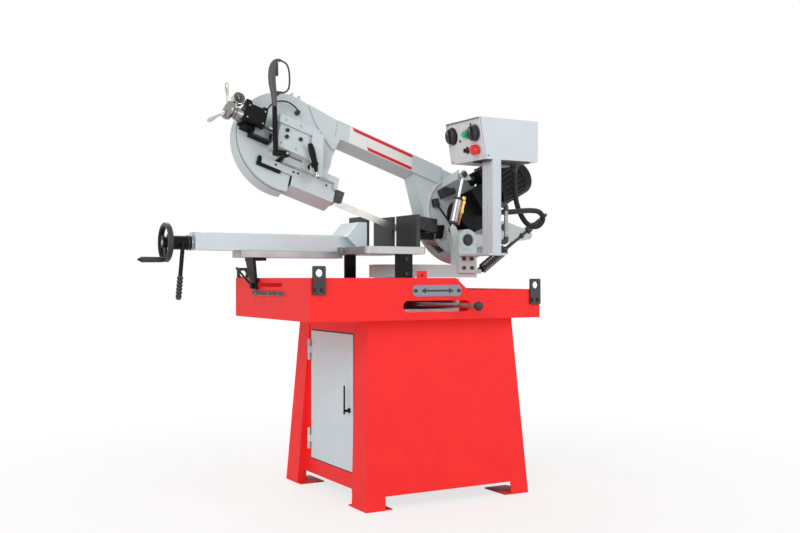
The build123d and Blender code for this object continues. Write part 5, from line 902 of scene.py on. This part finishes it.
coil = bpy.data.objects.new("return_spring_coil", coil_mesh())
scene.collection.objects.link(coil)
coil.data.materials.append(SPRING)
coil.data.polygons.foreach_set("use_smooth", [True] * len(coil.data.polygons))
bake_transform(coil)
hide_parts("return_spring")
CORE = ((0, -1), (14, -1), (14, 9), (11, 16), (0, 16))
lathe("spring_core_low", CORE, COIL, BLACK, "swivel", 28)
lathe("spring_core_high", [(radius, COIL_LENGTH - z) for radius, z in CORE], COIL, BLACK, "bow", 28)
tube("spring_hook", [spot(372, 4, 892), spot(380, 4, 886), spot(394, 4, 888)], 4, SPRING, "swivel")

# Spring rod: sleeve with collars, and its cross knob; tail bolt
lathe("spring_rod_sleeve", [(0, -4), (8, -4), (8, 96), (13, 98), (13, 108), (8, 110), (8, 138), (16, 140),
                            (16, 164), (8, 166), (8, 182), (13, 184), (13, 192), (8.5, 194), (8.5, 266),
                            (6, 274), (0, 274)], facing(HIGH, SPRING_WAY), BLACK, "bow", 28)
lathe("spring_rod_knob", [(0, 0), (6, 0), (6, 14), (9, 16), (9, 28), (6, 30), (0, 30)],
      facing(HIGH + SPRING_WAY * 225 * MM, FRONTWARD), BLACK, "bow", 24)
bolt("tail_bolt", spot(505, 0, 1070), FRONTWARD, 15, 9, "bow")

# Vice: thick handwheel rim, turned crank grip, clamp collar and ribbed lever end
VICE_Y, VICE_Z, CRANK_RADIUS = 176, 985, 66
WHEEL = facing(spot(-940, VICE_Y, VICE_Z), LEFTWARD, FRONTWARD)
lathe("handwheel_rim", [(57, -8), (62, -11), (71, -11), (75.5, -7), (75.5, 7), (72, 10), (66, 10), (61, 3),
                        (57, -8)], WHEEL, PLASTIC, "screw", 64)
crank = lathe("crank_sleeve", [(5.4, 10.2), (9, 10.2), (10.4, 15), (10.8, 50), (10.8, 92), (9, 97), (5.4, 97),
                               (5.4, 10.2)], shifted(WHEEL, 0, -CRANK_RADIUS, 0), PLASTIC, "crank")
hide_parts("crank_grip")
lathe("clamp_collar", [(27, 0), (30.5, 1), (30.5, 8), (27, 9)],
      facing(spot(-837, VICE_Y, VICE_Z), LEFTWARD), STEEL, "clamp", 48)
lathe("clamp_ring", [(27, 0), (29.5, 1), (29.5, 6), (27, 7)], facing(spot(-852, VICE_Y, VICE_Z), LEFTWARD),
      BLACK, "clamp", 48)
lever_end = [(8, 132)]
for rib in range(136, 220, 14):
    lever_end += [(11.5, rib), (12, rib + 6), (8.6, rib + 11)]
lathe("clamp_lever_end", lever_end + [(10, 222), (0, 223)],
      facing(spot(-880.5, 149, VICE_Z), (-30, -39, -215)), BLACK, "clamp", 24)

# Tray: arrow plate, lock lever's ball and grip, screw of the tab and support bolts
ARROW_X, ARROW_Z = -65, 802
ARROW = ((-50, -11), (-50, -3.5), (50, -3.5), (50, -11), (72, 0), (50, 11), (50, 3.5), (-50, 3.5),
         (-50, 11), (-72, 0))
plate_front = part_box("tray_plates")[0][1] / MM
prism("arrow", [(ARROW_X + x, ARROW_Z + z) for x, z in ARROW], 0.5, front(plate_front), BLACK, "stand")
bolts("arrow_plate_bolt", [spot(ARROW_X + x, plate_front, ARROW_Z) for x in (-95, 95)], FRONTWARD, 6.5, 4,
      "stand")
lock_height = (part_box("lock_lever")[0][2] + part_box("lock_lever")[1][2]) / 2 / MM
LOCK_END, LOCK_WAY = spot(76, -440, lock_height), spot(76, -515, 0).normalized()
knob("lock_ball", LOCK_END, LOCK_WAY, 18.2, 2, PLASTIC, "lock")
lathe("lock_grip", [(8, 0), (8.3, 2), (8.3, 46), (10.4, 62), (11, 78), (9.5, 90), (8, 93)],
      facing(LOCK_END - LOCK_WAY * 112 * MM, LOCK_WAY), BROWN, "lock")
bolt("tab_screw", spot(-131, -370, 860), FRONTWARD, 5, 2.5, "stand")
bolts("support_bolt", [spot(-52, -115, z) for z in (866, 925)], FRONTWARD, 8, 6, "stand")

# Cables on the bow
CABLE = ((-966, 216, 82), (-956, 244, 80), (-930, 282, 66), (-888, 308, 56), (-850, 308, 54), (-826, 294, 52))
switch_cable = tube("switch_cable", [bow(*p) for p in CABLE], 3, RUBBER, "bow")
PLUG_CABLE = ((-108, 152, 45), (-95, 147, 43), (-80, 138, 39), (-51, 118, 38), (-29, 99, 38), (-7, 84, 38),
              (18, 65, 38), (28, 58, 34))
plug_cable = tube("plug_cable", [bow(*p) for p in PLUG_CABLE], 3.5, RUBBER, "bow")
grommet = lathe("plug_cable_grommet", [(0, 0), (8, 0), (8, 5), (6, 8), (0, 8)],
                facing(bow(27, 59, CASE_FRONT), OUTWARD), PLASTIC, "bow", 24)
